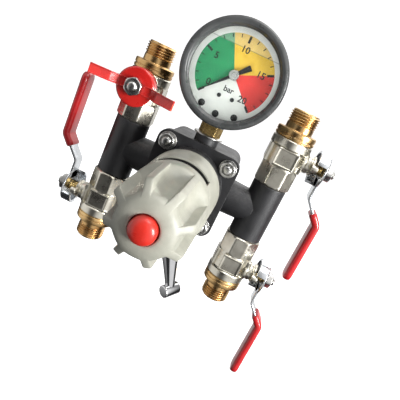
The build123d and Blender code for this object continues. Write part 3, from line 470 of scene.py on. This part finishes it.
for height, over_rib, between in OUTSIDE:
    ring = []
    for rib in range(RIBS):
        middle = RIB_START + rib * 2 * pi / RIBS
        half = min(RIB_HALF, over_rib * sin(pi / RIBS) * 0.5)
        spread = half / between
        for t in (-1.0, -0.86, -0.4, 0.0, 0.4, 0.86, 1.0):
            radius = over_rib - (0.35 * (1 - sqrt(max(0.0, 1 - abs(t) ** 6)))) * (over_rib - between > 0.5)
            x = sqrt(max(radius ** 2 - (t * half) ** 2, 0.0))
            ring.append((middle, x, t * half))
        gap = 2 * pi / RIBS - 2 * spread
        for t in (0.0, 0.03, 0.08, 0.2, 0.35, 0.5, 0.65, 0.8, 0.92, 0.97, 1.0):
            turn_by = middle + spread + gap * t
            scoop = min(2.4, (over_rib - between) * 0.45) * sin(pi * t)
            radius = between - scoop
            if t in (0.0, 1.0):
                radius = between + (over_rib - between) * 0.12
            ring.append((turn_by, radius, 0.0))
    level = [Vector((x * cos(a) - y * sin(a), x * sin(a) + y * cos(a), height)) for a, x, y in ring]
    rings.append([knob_space @ point for point in level])
angles = []
for point in rings[0]:
    local = knob_space.inverted() @ point
    angles.append(atan2(local.y, local.x))
for height, radius in ((51.4, 8.5), (51.2, 8.0), (50.6, 7.75), (45.0, 7.65), (45.0, 8.4), (35.0, 8.4),
                       (35.0, 8.0), (16.5, 8.0), (16.5, 5.4), (14.4, 5.4), (14.4, 13.1), (0.0, 13.1)):
    rings.append([knob_space @ Vector((radius * cos(a), radius * sin(a), height)) for a in angles])
skinned("handwheel_moulding", [(rings, "loop")], grey_plastic, "handwheel", ["handwheel"],
        sharp=32)

# ---- The cap: a moulded red plastic button with a domed face and a soft edge. It snaps into the hole in the
# handwheel's front, and is smooth and a little glossy.
CAP_R, CAP_DOME = 7.1, 3.8
red_plastic = finish("red cap plastic", (0.62, 0.02, 0.012), (0.74, 0.035, 0.02), (0.25, 0.36),
                     grained=(2600, 0.1), dusty=0.05, scratches=0.35, coat=0.25)
cap_low, cap_high = (corner * 1000 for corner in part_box("red_cap"))
cap_tall = cap_high.y - cap_low.y
cap_space = placed((0, cap_high.y, 0), (0, -1, 0), (1, 0, 0))
dome = [(8.3, 0), (8.35, 0.2), (8.35, 2.8), (CAP_R, 2.95), (CAP_R, cap_tall - 4.0)]
dome += [(CAP_R * cos(radians(t)) ** 0.8, cap_tall - CAP_DOME + CAP_DOME * sin(radians(t)))
         for t in (0, 8, 16, 26, 36, 46, 56, 66, 76, 85)]
skinned("red_cap_button", [(turned(cap_space, [(0.2, 0)] + dome + [(0.1, cap_tall)], 80), "caps")],
        red_plastic, "handwheel", ["red_cap"])

# ---- The manifolds: two cast tees in the same black enamel, each a vertical tube with a threaded nipple
# at both ends and a stub that screws into the body's side.
painted_on(["left_manifold", "right_manifold"], black_enamel)

# ---- The ball valves: nickel plated forgings. An octagon takes the spanner, the round middle has four
# raised pads, and a turned brass end with a half inch thread is screwed and glued into the wide ring.
nickel = finish("satin nickel", (0.52, 0.49, 0.41), (0.74, 0.71, 0.62), (0.24, 0.34), metallic=1.0,
                grained=(1700, 0.12), worn=((0.8, 0.72, 0.52), 0.5, 1.0), dusty=0.08, scratches=0.3,
                rounding=0.0004)
thread_brass = finish("thread brass", (0.4, 0.21, 0.07), (0.76, 0.52, 0.24), (0.2, 0.34), metallic=1.0,
                      grained=(1500, 0.08), stretch=(1, 1, 5), worn=((0.9, 0.72, 0.4), 0.5, 1.0),
                      dusty=0.06, scratches=0.2)
painted_on([f"{row}_{side}_ball" for row in ("upper", "lower") for side in ("left", "right")], chrome)
BALL_HEIGHT = 46.0
OCTAGON_FLATS = 26.0
WAIST_R = 13.2
PAD_OUT = 14.1
PAD_HALF = 8.3
LUG_OUT, LUG_R = 10.0, 2.5
HUB_R, HUB_LIP_R = 13.0, 11.0
PLATE_HEIGHT = 28.5
HALF_INCH_R, HALF_INCH_PITCH = 10.45, 1.814
HANDLE_NUT_FLATS, HANDLE_NUT_HEIGHT = 11.0, 5.2
STRIP_HALF, STRIP_HALF_THICK = 6.0, 1.0
SLEEVE_HALF, SLEEVE_HALF_THICK = 7.2, 2.8
GRIP_HEIGHT = 42.5
VALVES = {
    "upper_left": ((0, -1, 0), (1, 0, 0)),
    "lower_left": ((-1, 0, 0), (0, 0, 1)),
    "upper_right": ((1, 0, 0), (0, 0, -1)),
    "lower_right": ((1, 0, 0), (0, 0, -1)),
}


def step(value, start, end):
    t = min(max((value - start) / (end - start), 0.0), 1.0)
    return t * t * (3 - 2 * t)


def housing_radius(height, angle):
    """The forging's side: octagon, waist with pads, and the ring, from its mouth to its outlet."""
    flat = OCTAGON_FLATS / 2 / cos((angle + pi / 8) % (pi / 4) - pi / 8)
    octagon = min(flat, 13.88)
    octagon = min(octagon, 12.9 + 0.9 * max(height + 24.5, 0), 13.0 + 0.9 * max(-9.4 - height, 0))
    octagon = min(octagon, 12.2 + 1.5 * max(height + 24.5, 0.0))
    from_pad = abs((angle + pi / 4) % (pi / 2) - pi / 4)
    across = tan(from_pad) * PAD_OUT
    pad_face = PAD_OUT / cos(from_pad) - 0.75
    inside = 1 - step(across, PAD_HALF - 0.35, PAD_HALF + 0.35)
    ends = step(height, -9.2, -8.7) * (1 - step(height, 4.1, 4.7))
    upright_line = 1 - step(abs(across - 7.2), 0.35, 0.6)
    frame_line = upright_line * step(height, -8.3, -7.9) * (1 - step(height, 3.5, 3.9))
    level_line = 1 - step(min(abs(height + 7.9), abs(height - 3.5)), 0.35, 0.6)
    frame_line = max(frame_line, (1 - step(across, 7.4, 7.7)) * level_line)
    waist = WAIST_R + (max(min(pad_face, 15.3), WAIST_R) - WAIST_R + 0.32 * frame_line) * inside * ends
    ring = WAIST_R + 1.4 * step(height, 3.4, 5.2)
    ring = ring - 0.9 * (1 - step(11.0 - height, 0.0, 0.9))
    return max(octagon, 12.2) if height < -9.6 else max(waist, ring if height > 3.4 else 0.0)


def filleted(points, radius, steps=6):
    """A bent line with rounded corners, in its own plane."""
    return eased(points, radius, steps, closed=False)


def swept(place, line, width_at, thick_at, roundness, corners=6):
    """Rings of rounded rectangles along a line in the x-z plane of a piece's own space."""
    rings = []
    for i, point in enumerate(line):
        before = line[max(i - 1, 0)]
        after = line[min(i + 1, len(line) - 1)]
        ahead = (after - before).normalized()
        side = Vector((-ahead.y, ahead.x))
        t = i / (len(line) - 1)
        wide, thick = width_at(i, t), thick_at(i, t)
        soft = min(roundness, wide * 0.98, thick * 0.98)
        ring = []
        for quarter in range(4):
            centre_w = (wide - soft) * (1 if quarter in (0, 3) else -1)
            centre_t = (thick - soft) * (1 if quarter in (0, 1) else -1)
            for k in range(corners + 1):
                a = pi / 2 * (quarter + k / corners)
                w = centre_w + soft * cos(a)
                s = centre_t + soft * sin(a)
                ring.append(place @ Vector((point.x + side.x * s, w, point.y + side.y * s)))
        rings.append(ring)
    return rings


zinc_lever = finish("plated lever", (0.6, 0.62, 0.64), (0.8, 0.82, 0.84), (0.16, 0.28), metallic=1.0,
                    grained=(1500, 0.06), worn=((0.85, 0.85, 0.85), 0.5, 1.0), dusty=0.06, scratches=0.4)
red_enamel = finish("red enamel", (0.5, 0.012, 0.01), (0.68, 0.022, 0.016), (0.2, 0.32),
                    grained=(1300, 0.1), worn=((0.32, 0.02, 0.015), 0.4, 0.0), dusty=0.05, scratches=0.3,
                    coat=0.4, rounding=0.0005)
red_sleeve = finish("dipped red sleeve", (0.42, 0.01, 0.012), (0.6, 0.014, 0.018), (0.24, 0.36),
                    grained=(900, 0.12), dusty=0.07, scratches=0.25, coat=0.3, rounding=0.0006)

for valve, (stem, lever) in VALVES.items():
    body = f"{valve}_lever"
    end_low, end_high = (corner * 1000 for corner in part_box(f"{valve}_outlet_end"))
    tube_x = (end_low.x + end_high.x) / 2
    tube_y = (end_low.y + end_high.y) / 2
    up = 1 if end_high.z > 0 else -1
    ball_z = up * BALL_HEIGHT
    centre = Vector((tube_x, tube_y, ball_z))
    stem = Vector(stem)
    flow = placed(centre, (0, 0, up), stem)

    # the forging, as one skin from its mouth to the joint with the brass end and back through the bore
    heights = [-24.5, -24.2, -23.8, -23.2, -22.4, -21.0, -17.0, -13.0, -11.4, -10.6, -10.1, -9.7, -9.4,
               -9.2, -9.0, -8.8, -8.6, -8.4, -8.2, -8.0, -7.8, -7.6, -7.4, -7.2, -6.6, -4.0, -2.0, 0.0, 1.6,
               2.6, 2.8, 3.0, 3.2, 3.4, 3.6, 3.8, 4.0, 4.2, 4.4, 4.6, 4.8, 5.2, 5.8, 8.0, 9.6, 10.1, 10.4,
               10.7, 10.9, 11.0]
    shell = [(0.0, h) for h in heights]
    skin = turned(flow, shell, 192, lambda radius, height, angle: housing_radius(height, angle))
    skin += turned(flow, [(9.3, 11.0), (9.3, 8.6), (9.2, -9.0), (5.3, -9.0), (5.3, -12.0), (9.3, -12.0),
                          (9.3, -24.2), (9.8, -24.5)], 192)
    neck_space = placed(centre, stem, (0, 0, 1))
    neck = eased([(4.3, 12.0), (8.6, 12.0), (8.2, 14.2), (7.0, 15.0), (7.0, 17.4), (6.2, 17.8), (6.2, 18.6),
                  (7.1, 19.0), (7.1, 20.6), (6.6, 21.0), (4.3, 21.0)], 0.3, 3)
    lug_hub = placed(centre, stem, lever)
    lug = lug_hub @ Matrix.Translation((0, -LUG_OUT, 0))
    pin = turned(lug, eased([(0.1, 18.4), (LUG_R, 18.4), (LUG_R, 22.9), (0.1, 22.9)], 0.5, 4, closed=False),
                 40)
    arm_section = ((-2.3, -LUG_OUT), (2.3, -LUG_OUT), (2.3, -5.0), (-2.3, -5.0))
    arm = [[lug_hub @ Vector((x, y, z)) for x, y in arm_section] for z in (18.5, 20.6)]
    shells = [(skin, "loop"), (turned(neck_space, neck, 72), "loop"), (pin, "caps"), (arm, "caps")]
    skinned(f"{valve}_forging", shells, nickel, "root", [f"{valve}_valve_case"], sharp=30)

    # the brass end: a collar with a groove, the relief neck and the half inch thread
    bore_in = [(6.5, 31.3), (6.5, 8.8)]
    collar = [(6.7, 8.6), (9.1, 8.6), (9.1, 10.9), (13.6, 11.05), (14.3, 11.6), (14.4, 12.0), (14.4, 13.1),
              (13.9, 13.4), (13.9, 13.9), (14.4, 14.2), (14.4, 16.6), (14.2, 17.1), (13.7, 17.5),
              (10.3, 17.5), (9.9, 17.9), (9.9, 21.8)]
    rings = turned(flow, collar, 96)
    rings += thread(flow, HALF_INCH_R, 1.1, HALF_INCH_PITCH, 22.0, 31.0, 96, 1.0)
    rings += turned(flow, [(9.2, 31.3), (8.9, 31.5), (7.1, 31.5)] + bore_in, 96)
    skinned(f"{valve}_brass_end", [(rings, "loop")], thread_brass, "root", [f"{valve}_outlet_end"],
            sharp=28)

    # the stem, a brass rod whose tongue turns the ball, and its plated thread with the handle's nut
    hub = placed(centre, stem, lever)
    rod = turned(hub, eased([(0.1, 8.3), (4.0, 8.3), (4.0, 27.3), (0.1, 27.3)], 0.3, 2, closed=False), 48)
    tongue_section = ((-3.2, -1.2), (3.2, -1.2), (3.2, 1.2), (-3.2, 1.2))
    tongue = [[hub @ Vector((x, y, z)) for x, y in tongue_section] for z in (5.8, 9.0)]
    screw = turned(hub, [(2.55, 27.0), (2.6, 29.0)], 60) + thread(hub, 2.98, 0.5, 1.0, 29.2, 36.8, 60, 0.5)
    screw += turned(hub, [(2.3, 37.0), (1.9, 37.1)], 60)
    skinned(f"{valve}_stem_brass", [(rod, "caps"), (tongue, "caps")], yellow_brass, body,
            [f"{valve}_stem"])
    skinned(f"{valve}_stem_thread", [(screw, "caps")], zinc, body)
    nut_space = placed(hub @ Vector((0, 0, 29.5)), stem, lever)
    handle_nut = hexagon_nut(nut_space, HANDLE_NUT_FLATS, HANDLE_NUT_HEIGHT, 3.05)
    skinned(f"{valve}_handle_nut_plated", [handle_nut], zinc, body, [f"{valve}_handle_nut"],
            sharp=25)

    # the handle: a drawn hub with a skirt that stops against the lug, and its strip or wings
    handle_finish = red_enamel if valve == "upper_left" else zinc_lever
    disc = eased([(3.1, 27.5), (12.2, 27.5), (HUB_R, 28.0), (HUB_R, 28.6), (12.0, 29.3), (9.0, 29.5),
                  (3.1, 29.5)], 0.4, 4)
    skirt = []
    turns = [radians(17 + 236 * i / 72) for i in range(73)]
    section = eased([(HUB_LIP_R, 21.0), (HUB_R, 21.0), (HUB_R, 28.2), (12.0, 29.1), (HUB_LIP_R, 28.2)], 0.5,
                    3)
    for a in turns:
        skirt.append([hub @ Vector((r * cos(a), r * sin(a), h)) for r, h in section])
    shells = [(turned(hub, disc, 96), "loop"), (skirt, "caps")]
    if valve == "upper_left":
        for wing in (-1, 1):
            bend = ((6.0, PLATE_HEIGHT), (11.5, PLATE_HEIGHT), (16.5, 33.3), (29.3, 37.8))
            line = filleted([(wing * out_by, height) for out_by, height in bend], 3.0)
            channel = [(3.3, -1.0), (3.3, 1.3), (2.8, 1.3), (2.5, 0.6), (-2.5, 0.6), (-2.8, 1.3),
                       (-3.3, 1.3), (-3.3, -1.0)]
            rings = []
            for i, point in enumerate(line):
                ahead = (line[min(i + 1, len(line) - 1)] - line[max(i - 1, 0)]).normalized() * wing
                edge_line = [(point.x - ahead.y * s, w, point.y + ahead.x * s) for w, s in channel]
                rings.append([hub @ Vector(edge_point) for edge_point in edge_line])
            shells.append((rings, "caps"))
        skinned(f"{valve}_wing_handle", shells, handle_finish, body, [f"{valve}_handle"],
                sharp=40)
        continue
    crank = [(6.0, PLATE_HEIGHT), (21.0, PLATE_HEIGHT), (37.0, GRIP_HEIGHT), (82.0, GRIP_HEIGHT)]
    line = filleted(crank, 5.0)
    shells.append((swept(hub, line, lambda i, t: STRIP_HALF, lambda i, t: STRIP_HALF_THICK, 0.55), "caps"))
    skinned(f"{valve}_strip_handle", shells, handle_finish, body, [f"{valve}_handle"], sharp=40)

    # the sleeve, dipped on: thick, soft at its edges and rounded at its tip
    path = filleted([(29.5, 35.94), (37.0, GRIP_HEIGHT), (85.0, GRIP_HEIGHT)], 5.0)
    dense = []
    for a, b in zip(path, path[1:]):
        pieces = max(1, int((b - a).length / 1.2))
        dense += [a.lerp(b, k / pieces) for k in range(pieces)]
    dense.append(path[-1])
    lengths = [0.0]
    for a, b in zip(dense, dense[1:]):
        lengths.append(lengths[-1] + (b - a).length)
    total = lengths[-1]

    def narrowing(i, full, tip):
        from_tip = total - lengths[i]
        from_mouth = lengths[i]
        size = full
        if from_tip < tip:
            size = full * sqrt(max(1 - (1 - from_tip / tip) ** 2, 0.0)) * 0.97 + full * 0.03
        if from_mouth < 0.9:
            size = size - 0.5 * (0.9 - from_mouth)
        return size

    sleeve = swept(hub, dense, lambda i, t: narrowing(i, SLEEVE_HALF, 6.0),
                   lambda i, t: narrowing(i, SLEEVE_HALF_THICK, 2.4), 2.4)
    skinned(f"{valve}_dipped_sleeve", [(sleeve, "caps")], red_sleeve, body, [f"{valve}_grip"],
            sharp=50)

# ---- The gauge: a glycerine filled gauge in a black case. Its brass connector stands on a wide washer,
# and a stepped bezel holds the window over a printed dial.
black_plastic = finish("gauge black", (0.05, 0.053, 0.053), (0.085, 0.088, 0.088), (0.22, 0.36),
                       grained=(1800, 0.14), worn=((0.2, 0.2, 0.2), 0.45, 0.0), dusty=0.15, scratches=0.3,
                       coat=0.15, rounding=0.0006)
painted_on(["gauge_case"], black_plastic)
bezel_low, bezel_high = (corner * 1000 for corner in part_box("gauge_bezel"))
dial_z = (bezel_low.z + bezel_high.z) / 2
dial_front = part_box("gauge_dial")[0].y * 1000
gauge_space = placed((0, bezel_high.y, dial_z), (0, -1, 0), (1, 0, 0))
bezel = eased([(31.45, 0), (34.0, 0), (34.3, 0.6), (34.3, 2.0), (33.9, 2.3), (33.9, 2.8), (34.3, 3.1),
               (34.3, 7.2), (33.2, 8.7), (31.8, 9.0), (30.2, 8.6), (29.6, 8.0), (29.2, 6.9), (28.4, 6.5),
               (28.4, 6.45), (31.45, 6.4)], 0.35, 3)
skinned("gauge_bezel_ring", [(turned(gauge_space, bezel, 160), "loop")], black_plastic, "root",
        ["gauge_bezel"], sharp=30)

# the washer under the connector, thin, wide and slightly dished
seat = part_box("gauge_washer")[0] * 1000
gauge_y = (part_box("gauge_washer")[0].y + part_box("gauge_washer")[1].y) * 500
washer_space = placed((0, gauge_y, seat.z), (0, 0, 1), (1, 0, 0))
dished = eased([(5.8, 0), (10.6, 0.0), (10.8, 0.4), (10.6, 0.9), (8.2, 1.5), (5.8, 1.5)], 0.2, 3)
skinned("gauge_washer_zinc", [(turned(washer_space, dished, 96), "loop")], zinc, "root",
        ["gauge_washer"])
painted_on(["gauge_connector"], yellow_brass)

# the window
glass = bpy.data.materials.new("window glass")
glass.use_nodes = True
shader = glass.node_tree.nodes["Principled BSDF"]
haze = node(glass.node_tree, "Group", node_tree=grain)
haze.inputs["Scale"].default_value = 500.0
smears = ranged(glass.node_tree, haze.outputs["Broad"], 0.0, 1.0, 0.02, 0.09)
glass.node_tree.links.new(smears, shader.inputs["Roughness"])
tint = blended(glass.node_tree, haze.outputs["Broad"], (0.97, 0.99, 0.98, 1), (0.93, 0.96, 0.95, 1))
glass.node_tree.links.new(tint, shader.inputs["Base Color"])
shader.inputs["Transmission Weight"].default_value = 1.0
shader.inputs["IOR"].default_value = 1.1
painted_on(["gauge_glass"], glass)

# the dial plate, printed in three coloured sectors on white
GREEN_FROM, GREEN_TO, YELLOW_TO, RED_TO = 225.0, 114.5, 22.5, -45.0
SECTOR_R = 0.0256
FILLED_TO = 0.0965
dial = bpy.data.materials.new("dial print")
dial.use_nodes = True
tree = dial.node_tree
shader = tree.nodes["Principled BSDF"]
ink = node(tree, "Group", node_tree=grain)
ink.inputs["Scale"].default_value = 3500.0
spot = node(tree, "SeparateXYZ", (node(tree, "TexCoord").outputs["Object"],))
from_centre = sum_of(tree, "SUBTRACT", spot.outputs["Z"], dial_z / 1000)
angle = sum_of(tree, "ARCTAN2", from_centre, spot.outputs["X"])
angle = sum_of(tree, "MULTIPLY", angle, 180 / pi)
angle = sum_of(tree, "WRAP", angle, 270.0, -90.0)
distance = sum_of(tree, "SQRT", sum_of(tree, "ADD", sum_of(tree, "MULTIPLY", from_centre, from_centre),
                                       sum_of(tree, "MULTIPLY", spot.outputs["X"], spot.outputs["X"])))
inside = sum_of(tree, "LESS_THAN", distance, SECTOR_R)
colour = blended(tree, ink.outputs["Broad"], (0.74, 0.74, 0.7, 1), (0.82, 0.82, 0.78, 1))
for low, high, dark, light in ((GREEN_TO, GREEN_FROM, (0.012, 0.2, 0.075, 1), (0.02, 0.27, 0.1, 1)),
                               (YELLOW_TO, GREEN_TO, (0.7, 0.42, 0.035, 1), (0.82, 0.54, 0.06, 1)),
                               (RED_TO, YELLOW_TO, (0.6, 0.03, 0.025, 1), (0.72, 0.045, 0.035, 1))):
    band = sum_of(tree, "MULTIPLY", sum_of(tree, "GREATER_THAN", angle, low),
                  sum_of(tree, "LESS_THAN", angle, high))
    band = sum_of(tree, "MULTIPLY", band, inside)
    colour = blended(tree, band, colour, blended(tree, ink.outputs["Broad"], dark, light))
# the glycerine stops short of the top, and light at its level is painted: the dial is painted paler above
# it, and a thin painted dark line stands for the shade of the liquid's surface
height = spot.outputs["Z"]
painted_pale_above_level = ranged(tree, height, FILLED_TO - 0.0001, FILLED_TO + 0.0001, 0.0, 0.16)
colour = blended(tree, painted_pale_above_level, colour, (0.9, 0.9, 0.86, 1))
# painted shade: the dark line along the glycerine's level
line = sum_of(tree, "LESS_THAN", sum_of(tree, "ABSOLUTE", sum_of(tree, "SUBTRACT", height, FILLED_TO)),
              0.00028)
colour = blended(tree, sum_of(tree, "MULTIPLY", line, 0.45), colour, (0.1, 0.1, 0.09, 1))
tree.links.new(colour, shader.inputs["Base Color"])
tree.links.new(ranged(tree, ink.outputs["Broad"], 0.0, 1.0, 0.4, 0.55), shader.inputs["Roughness"])
bump = node(tree, "Bump", {"Strength": 0.1, "Distance": 0.0002, "Height": ink.outputs["Fine"]})
tree.links.new(bump.outputs[0], shader.inputs["Normal"])
painted_on(["gauge_dial"], dial)

# the scale's ticks, numbers and unit, printed in black on the dial
print_black = finish("print black", (0.012, 0.012, 0.012), (0.02, 0.02, 0.02), (0.35, 0.5),
                     grained=(3000, 0.05), dusty=0.0, scratches=0.0, rounding=0.00005)
PRINT = 0.06
ticks = []


def on_dial(radius, angle):
    return Vector((radius * cos(angle), dial_front, dial_z + radius * sin(angle)))


def bar_on_dial(angle, inner, outer, half):
    ahead = Vector((cos(angle), 0, sin(angle)))
    side = Vector((-sin(angle), 0, cos(angle))) * half
    flat = [on_dial(inner, angle) - side, on_dial(outer, angle) - side, on_dial(outer, angle) + side,
            on_dial(inner, angle) + side]
    return [[p + Vector((0, lift, 0)) for p in flat] for lift in (-0.01, -PRINT)], "caps"


for mark in range(21):
    angle = radians(225.0 - mark * 13.5)
    long_one = mark % 5 == 0
    ticks.append(bar_on_dial(angle, 20.8 if long_one else 23.0, 25.2, 0.75 if long_one else 0.3))
skinned("dial_ticks", ticks, print_black, "root")
for words, radius, angle, size in (("0", 17.2, 217.0, 6.0), ("5", 16.7, 157.5, 6.0),
                                   ("10", 16.6, 90.0, 5.8), ("15", 16.9, 22.5, 6.0),
                                   ("20", 16.6, -47.0, 6.0), ("bar", 9.8, -86.0, 5.2)):
    letters = bpy.data.curves.new("scale " + words, "FONT")
    letters.body = words
    letters.size = size
    letters.align_x = "CENTER"
    letters.align_y = "CENTER"
    letters.extrude = 0.02
    letters.offset = 0.12
    letters.resolution_u = 3
    maker = bpy.data.objects.new("scale maker", letters)
    bpy.context.scene.collection.objects.link(maker)
    bpy.context.view_layer.update()
    flat = bpy.data.meshes.new_from_object(maker.evaluated_get(bpy.context.evaluated_depsgraph_get()))
    bpy.data.objects.remove(maker)
    spot_on_dial = on_dial(radius, radians(angle)) + Vector((0, -0.04, 0))
    upright = placed(spot_on_dial, (0, -1, 0), (1, 0, 0))
    mesh = bmesh.new()
    mesh.from_mesh(flat)
    bmesh.ops.remove_doubles(mesh, verts=mesh.verts, dist=0.0001)
    for vertex in mesh.verts:
        vertex.co = (upright @ vertex.co) * 0.001
    kept("dial_number_" + words, mesh, print_black, "root", ())

# dark screw heads low on the dial: two small ones of the movement and three larger ones of the case
# (distance from the dial's centre, direction in degrees, radius of the head)
heads = []
for radius, angle, size in ((15.6, -104.0, 1.4), (15.6, -70.0, 1.4), (27.0, -65.0, 2.3), (27.0, -92.0, 2.3),
                            (27.0, -117.0, 2.3)):
    at = placed(on_dial(radius, radians(angle)) + Vector((0, 0.02, 0)), (0, -1, 0), (1, 0, 0))
    heads.append((turned(at, [(size * 0.15, 0), (size, 0), (size, 0.25), (size * 0.8, 0.5),
                              (size * 0.2, 0.55)], 32), "caps"))
skinned("dial_screw_heads", heads, print_black, "root")

# the pointer: pressed black sheet on a plated bush
POINTER_TURN = radians(225.0)
POINTER_PLANE = -52.2
pointer_space = placed((0, POINTER_PLANE, dial_z), (0, -1, 0), (cos(POINTER_TURN), 0, sin(POINTER_TURN)))
blade = [(-11.5, 1.5), (-11.0, 1.9), (-4.0, 1.3), (-2.0, 1.2), (3.0, 1.1), (12.0, 0.7), (20.5, 0.3),
         (21.4, 0.1)]
rings = []
for x, half in blade:
    rings.append([pointer_space @ Vector((x, y, z)) for y, z in ((-half, 0.0), (half, 0.0),
                                                                 (half * 0.86, 0.5), (-half * 0.86, 0.5))])
bush = turned(pointer_space, [(0.2, -0.2), (3.3, -0.2), (3.4, 0.8), (3.0, 1.2), (1.6, 1.3), (1.3, 1.6),
                              (0.2, 1.7)], 48)
axle = turned(pointer_space, [(0.2, -6.2), (1.15, -6.2), (1.15, 0.0), (0.2, 0.0)], 32)
skinned("gauge_pointer_blade", [(rings, "caps"), (axle, "caps")], print_black, "gauge_pointer",
        ["gauge_pointer"])
skinned("gauge_pointer_bush", [(bush, "caps")], zinc, "gauge_pointer")

# ---- The display stand: a pale paper floor that sweeps up all round. It glows a little, so
# that it stays evenly pale. Three soft lamps light the valve, and a camera stands before it.
paper = finish("pale paper", (0.82, 0.82, 0.82), (0.84, 0.84, 0.84), (0.85, 0.95), grained=(60, 0.02),
               dusty=0.0, scratches=0.0, rounding=0.00001)
paper.node_tree.nodes["Principled BSDF"].inputs["Emission Color"].default_value = (1, 1, 1, 1)
paper.node_tree.nodes["Principled BSDF"].inputs["Emission Strength"].default_value = 0.78
floor_z = cad_box[0].z * 1000 - 0.5
FLAT_R, CURVE_R, WALL_TOP = 1400.0, 800.0, 2600.0
FLOOR_SIDES = 96
sweep = [(1.0, 0.0), (FLAT_R, 0.0)]
sweep += [(FLAT_R + CURVE_R * sin(radians(t)), CURVE_R * (1 - cos(radians(t)))) for t in range(10, 91, 10)]
sweep += [(FLAT_R + CURVE_R, WALL_TOP)]
mesh = bmesh.new()
rows = [[mesh.verts.new(Vector((p.x, p.y, p.z)) * 0.001) for p in ring]
        for ring in turned(placed((0, 0, floor_z), (0, 0, 1), (1, 0, 0)), sweep, FLOOR_SIDES)]
for low, high in zip(rows, rows[1:]):
    for i in range(FLOOR_SIDES):
        j = (i + 1) % FLOOR_SIDES
        mesh.faces.new((low[i], low[j], high[j], high[i]))
mesh.faces.new(rows[0][::-1])
data = bpy.data.meshes.new("floor")
mesh.to_mesh(data)
mesh.free()
data.materials.append(paper)
data.shade_smooth()
ground = bpy.data.objects.new("floor", data)
bpy.context.scene.collection.objects.link(ground)
ground.visible_glossy = False
ground.visible_diffuse = False

world = bpy.data.worlds.new("studio")
world.use_nodes = True
bpy.context.scene.world = world
tree = world.node_tree
way = node(tree, "TexCoord").outputs["Generated"]
parts = node(tree, "SeparateXYZ", (way,))
above = ranged(tree, parts.outputs["Z"], 0.2, 0.8)
# what polished metal mirrors: three tall pale screens with dark gaps between them, over a dark floor
round_about = sum_of(tree, "ARCTAN2", parts.outputs["X"], parts.outputs["Y"])
wave = sum_of(tree, "SINE", sum_of(tree, "ADD", sum_of(tree, "MULTIPLY", round_about, 3.0), 0.9))
screens = sum_of(tree, "MULTIPLY", ranged(tree, wave, -0.7, 0.0),
                 ranged(tree, parts.outputs["Z"], -0.85, -0.5))
seen = sum_of(tree, "ADD", sum_of(tree, "MULTIPLY", screens, 0.8), sum_of(tree, "MULTIPLY", above, 0.3))
sky = blended(tree, seen, (0.04, 0.04, 0.043, 1), (1.5, 1.5, 1.5, 1))
plain = blended(tree, node(tree, "LightPath").outputs["Is Glossy Ray"], (0.3, 0.3, 0.31, 1), sky)
tree.links.new(plain, tree.nodes["Background"].inputs["Color"])
tree.nodes["Background"].inputs["Strength"].default_value = 0.8

# (name, place, what it points at, width, watts)
for name, spot_at, aim, size, power in (("key lamp", (0.9, -0.6, 0.2), (0, -0.05, 0), 0.35, 19.0),
                                        ("top lamp", (0.1, -0.3, 0.95), (0, -0.05, 0), 0.45, 4.0),
                                        ("back lamp", (0.25, 0.7, 0.8), (0, -0.05, 0), 0.6, 4.0)):
    lamp = bpy.data.lights.new(name, "AREA")
    lamp.shape = "RECTANGLE"
    lamp.size = size
    lamp.size_y = size * 1.4
    lamp.energy = power
    holder = bpy.data.objects.new(name, lamp)
    holder.location = spot_at
    holder.rotation_euler = (Vector(aim) - Vector(spot_at)).to_track_quat("-Z", "Y").to_euler()
    bpy.context.scene.collection.objects.link(holder)

CAMERA_AT = (0.0226, -0.3294, 0.0757)
TURN_ROUND, LOOK_DOWN, TILT = radians(1.68), radians(16.35), radians(25.36)
back = Vector((sin(TURN_ROUND) * cos(LOOK_DOWN), -cos(TURN_ROUND) * cos(LOOK_DOWN), sin(LOOK_DOWN)))
right = Vector((cos(TURN_ROUND), sin(TURN_ROUND), 0))
upward = back.cross(right)
tilted_right = right * cos(TILT) + upward * sin(TILT)
tilted_up = upward * cos(TILT) - right * sin(TILT)
view = bpy.data.cameras.new("camera")
view.sensor_width = 36.0
view.lens = 37.48
view.clip_start = 0.01
camera = bpy.data.objects.new("camera", view)
columns = [(*column, 0) for column in (tilted_right, tilted_up, back)] + [(*CAMERA_AT, 1)]
camera.matrix_world = Matrix(columns).transposed()
bpy.context.scene.collection.objects.link(camera)
bpy.context.scene.camera = camera
bpy.context.scene.view_settings.view_transform = "Standard"
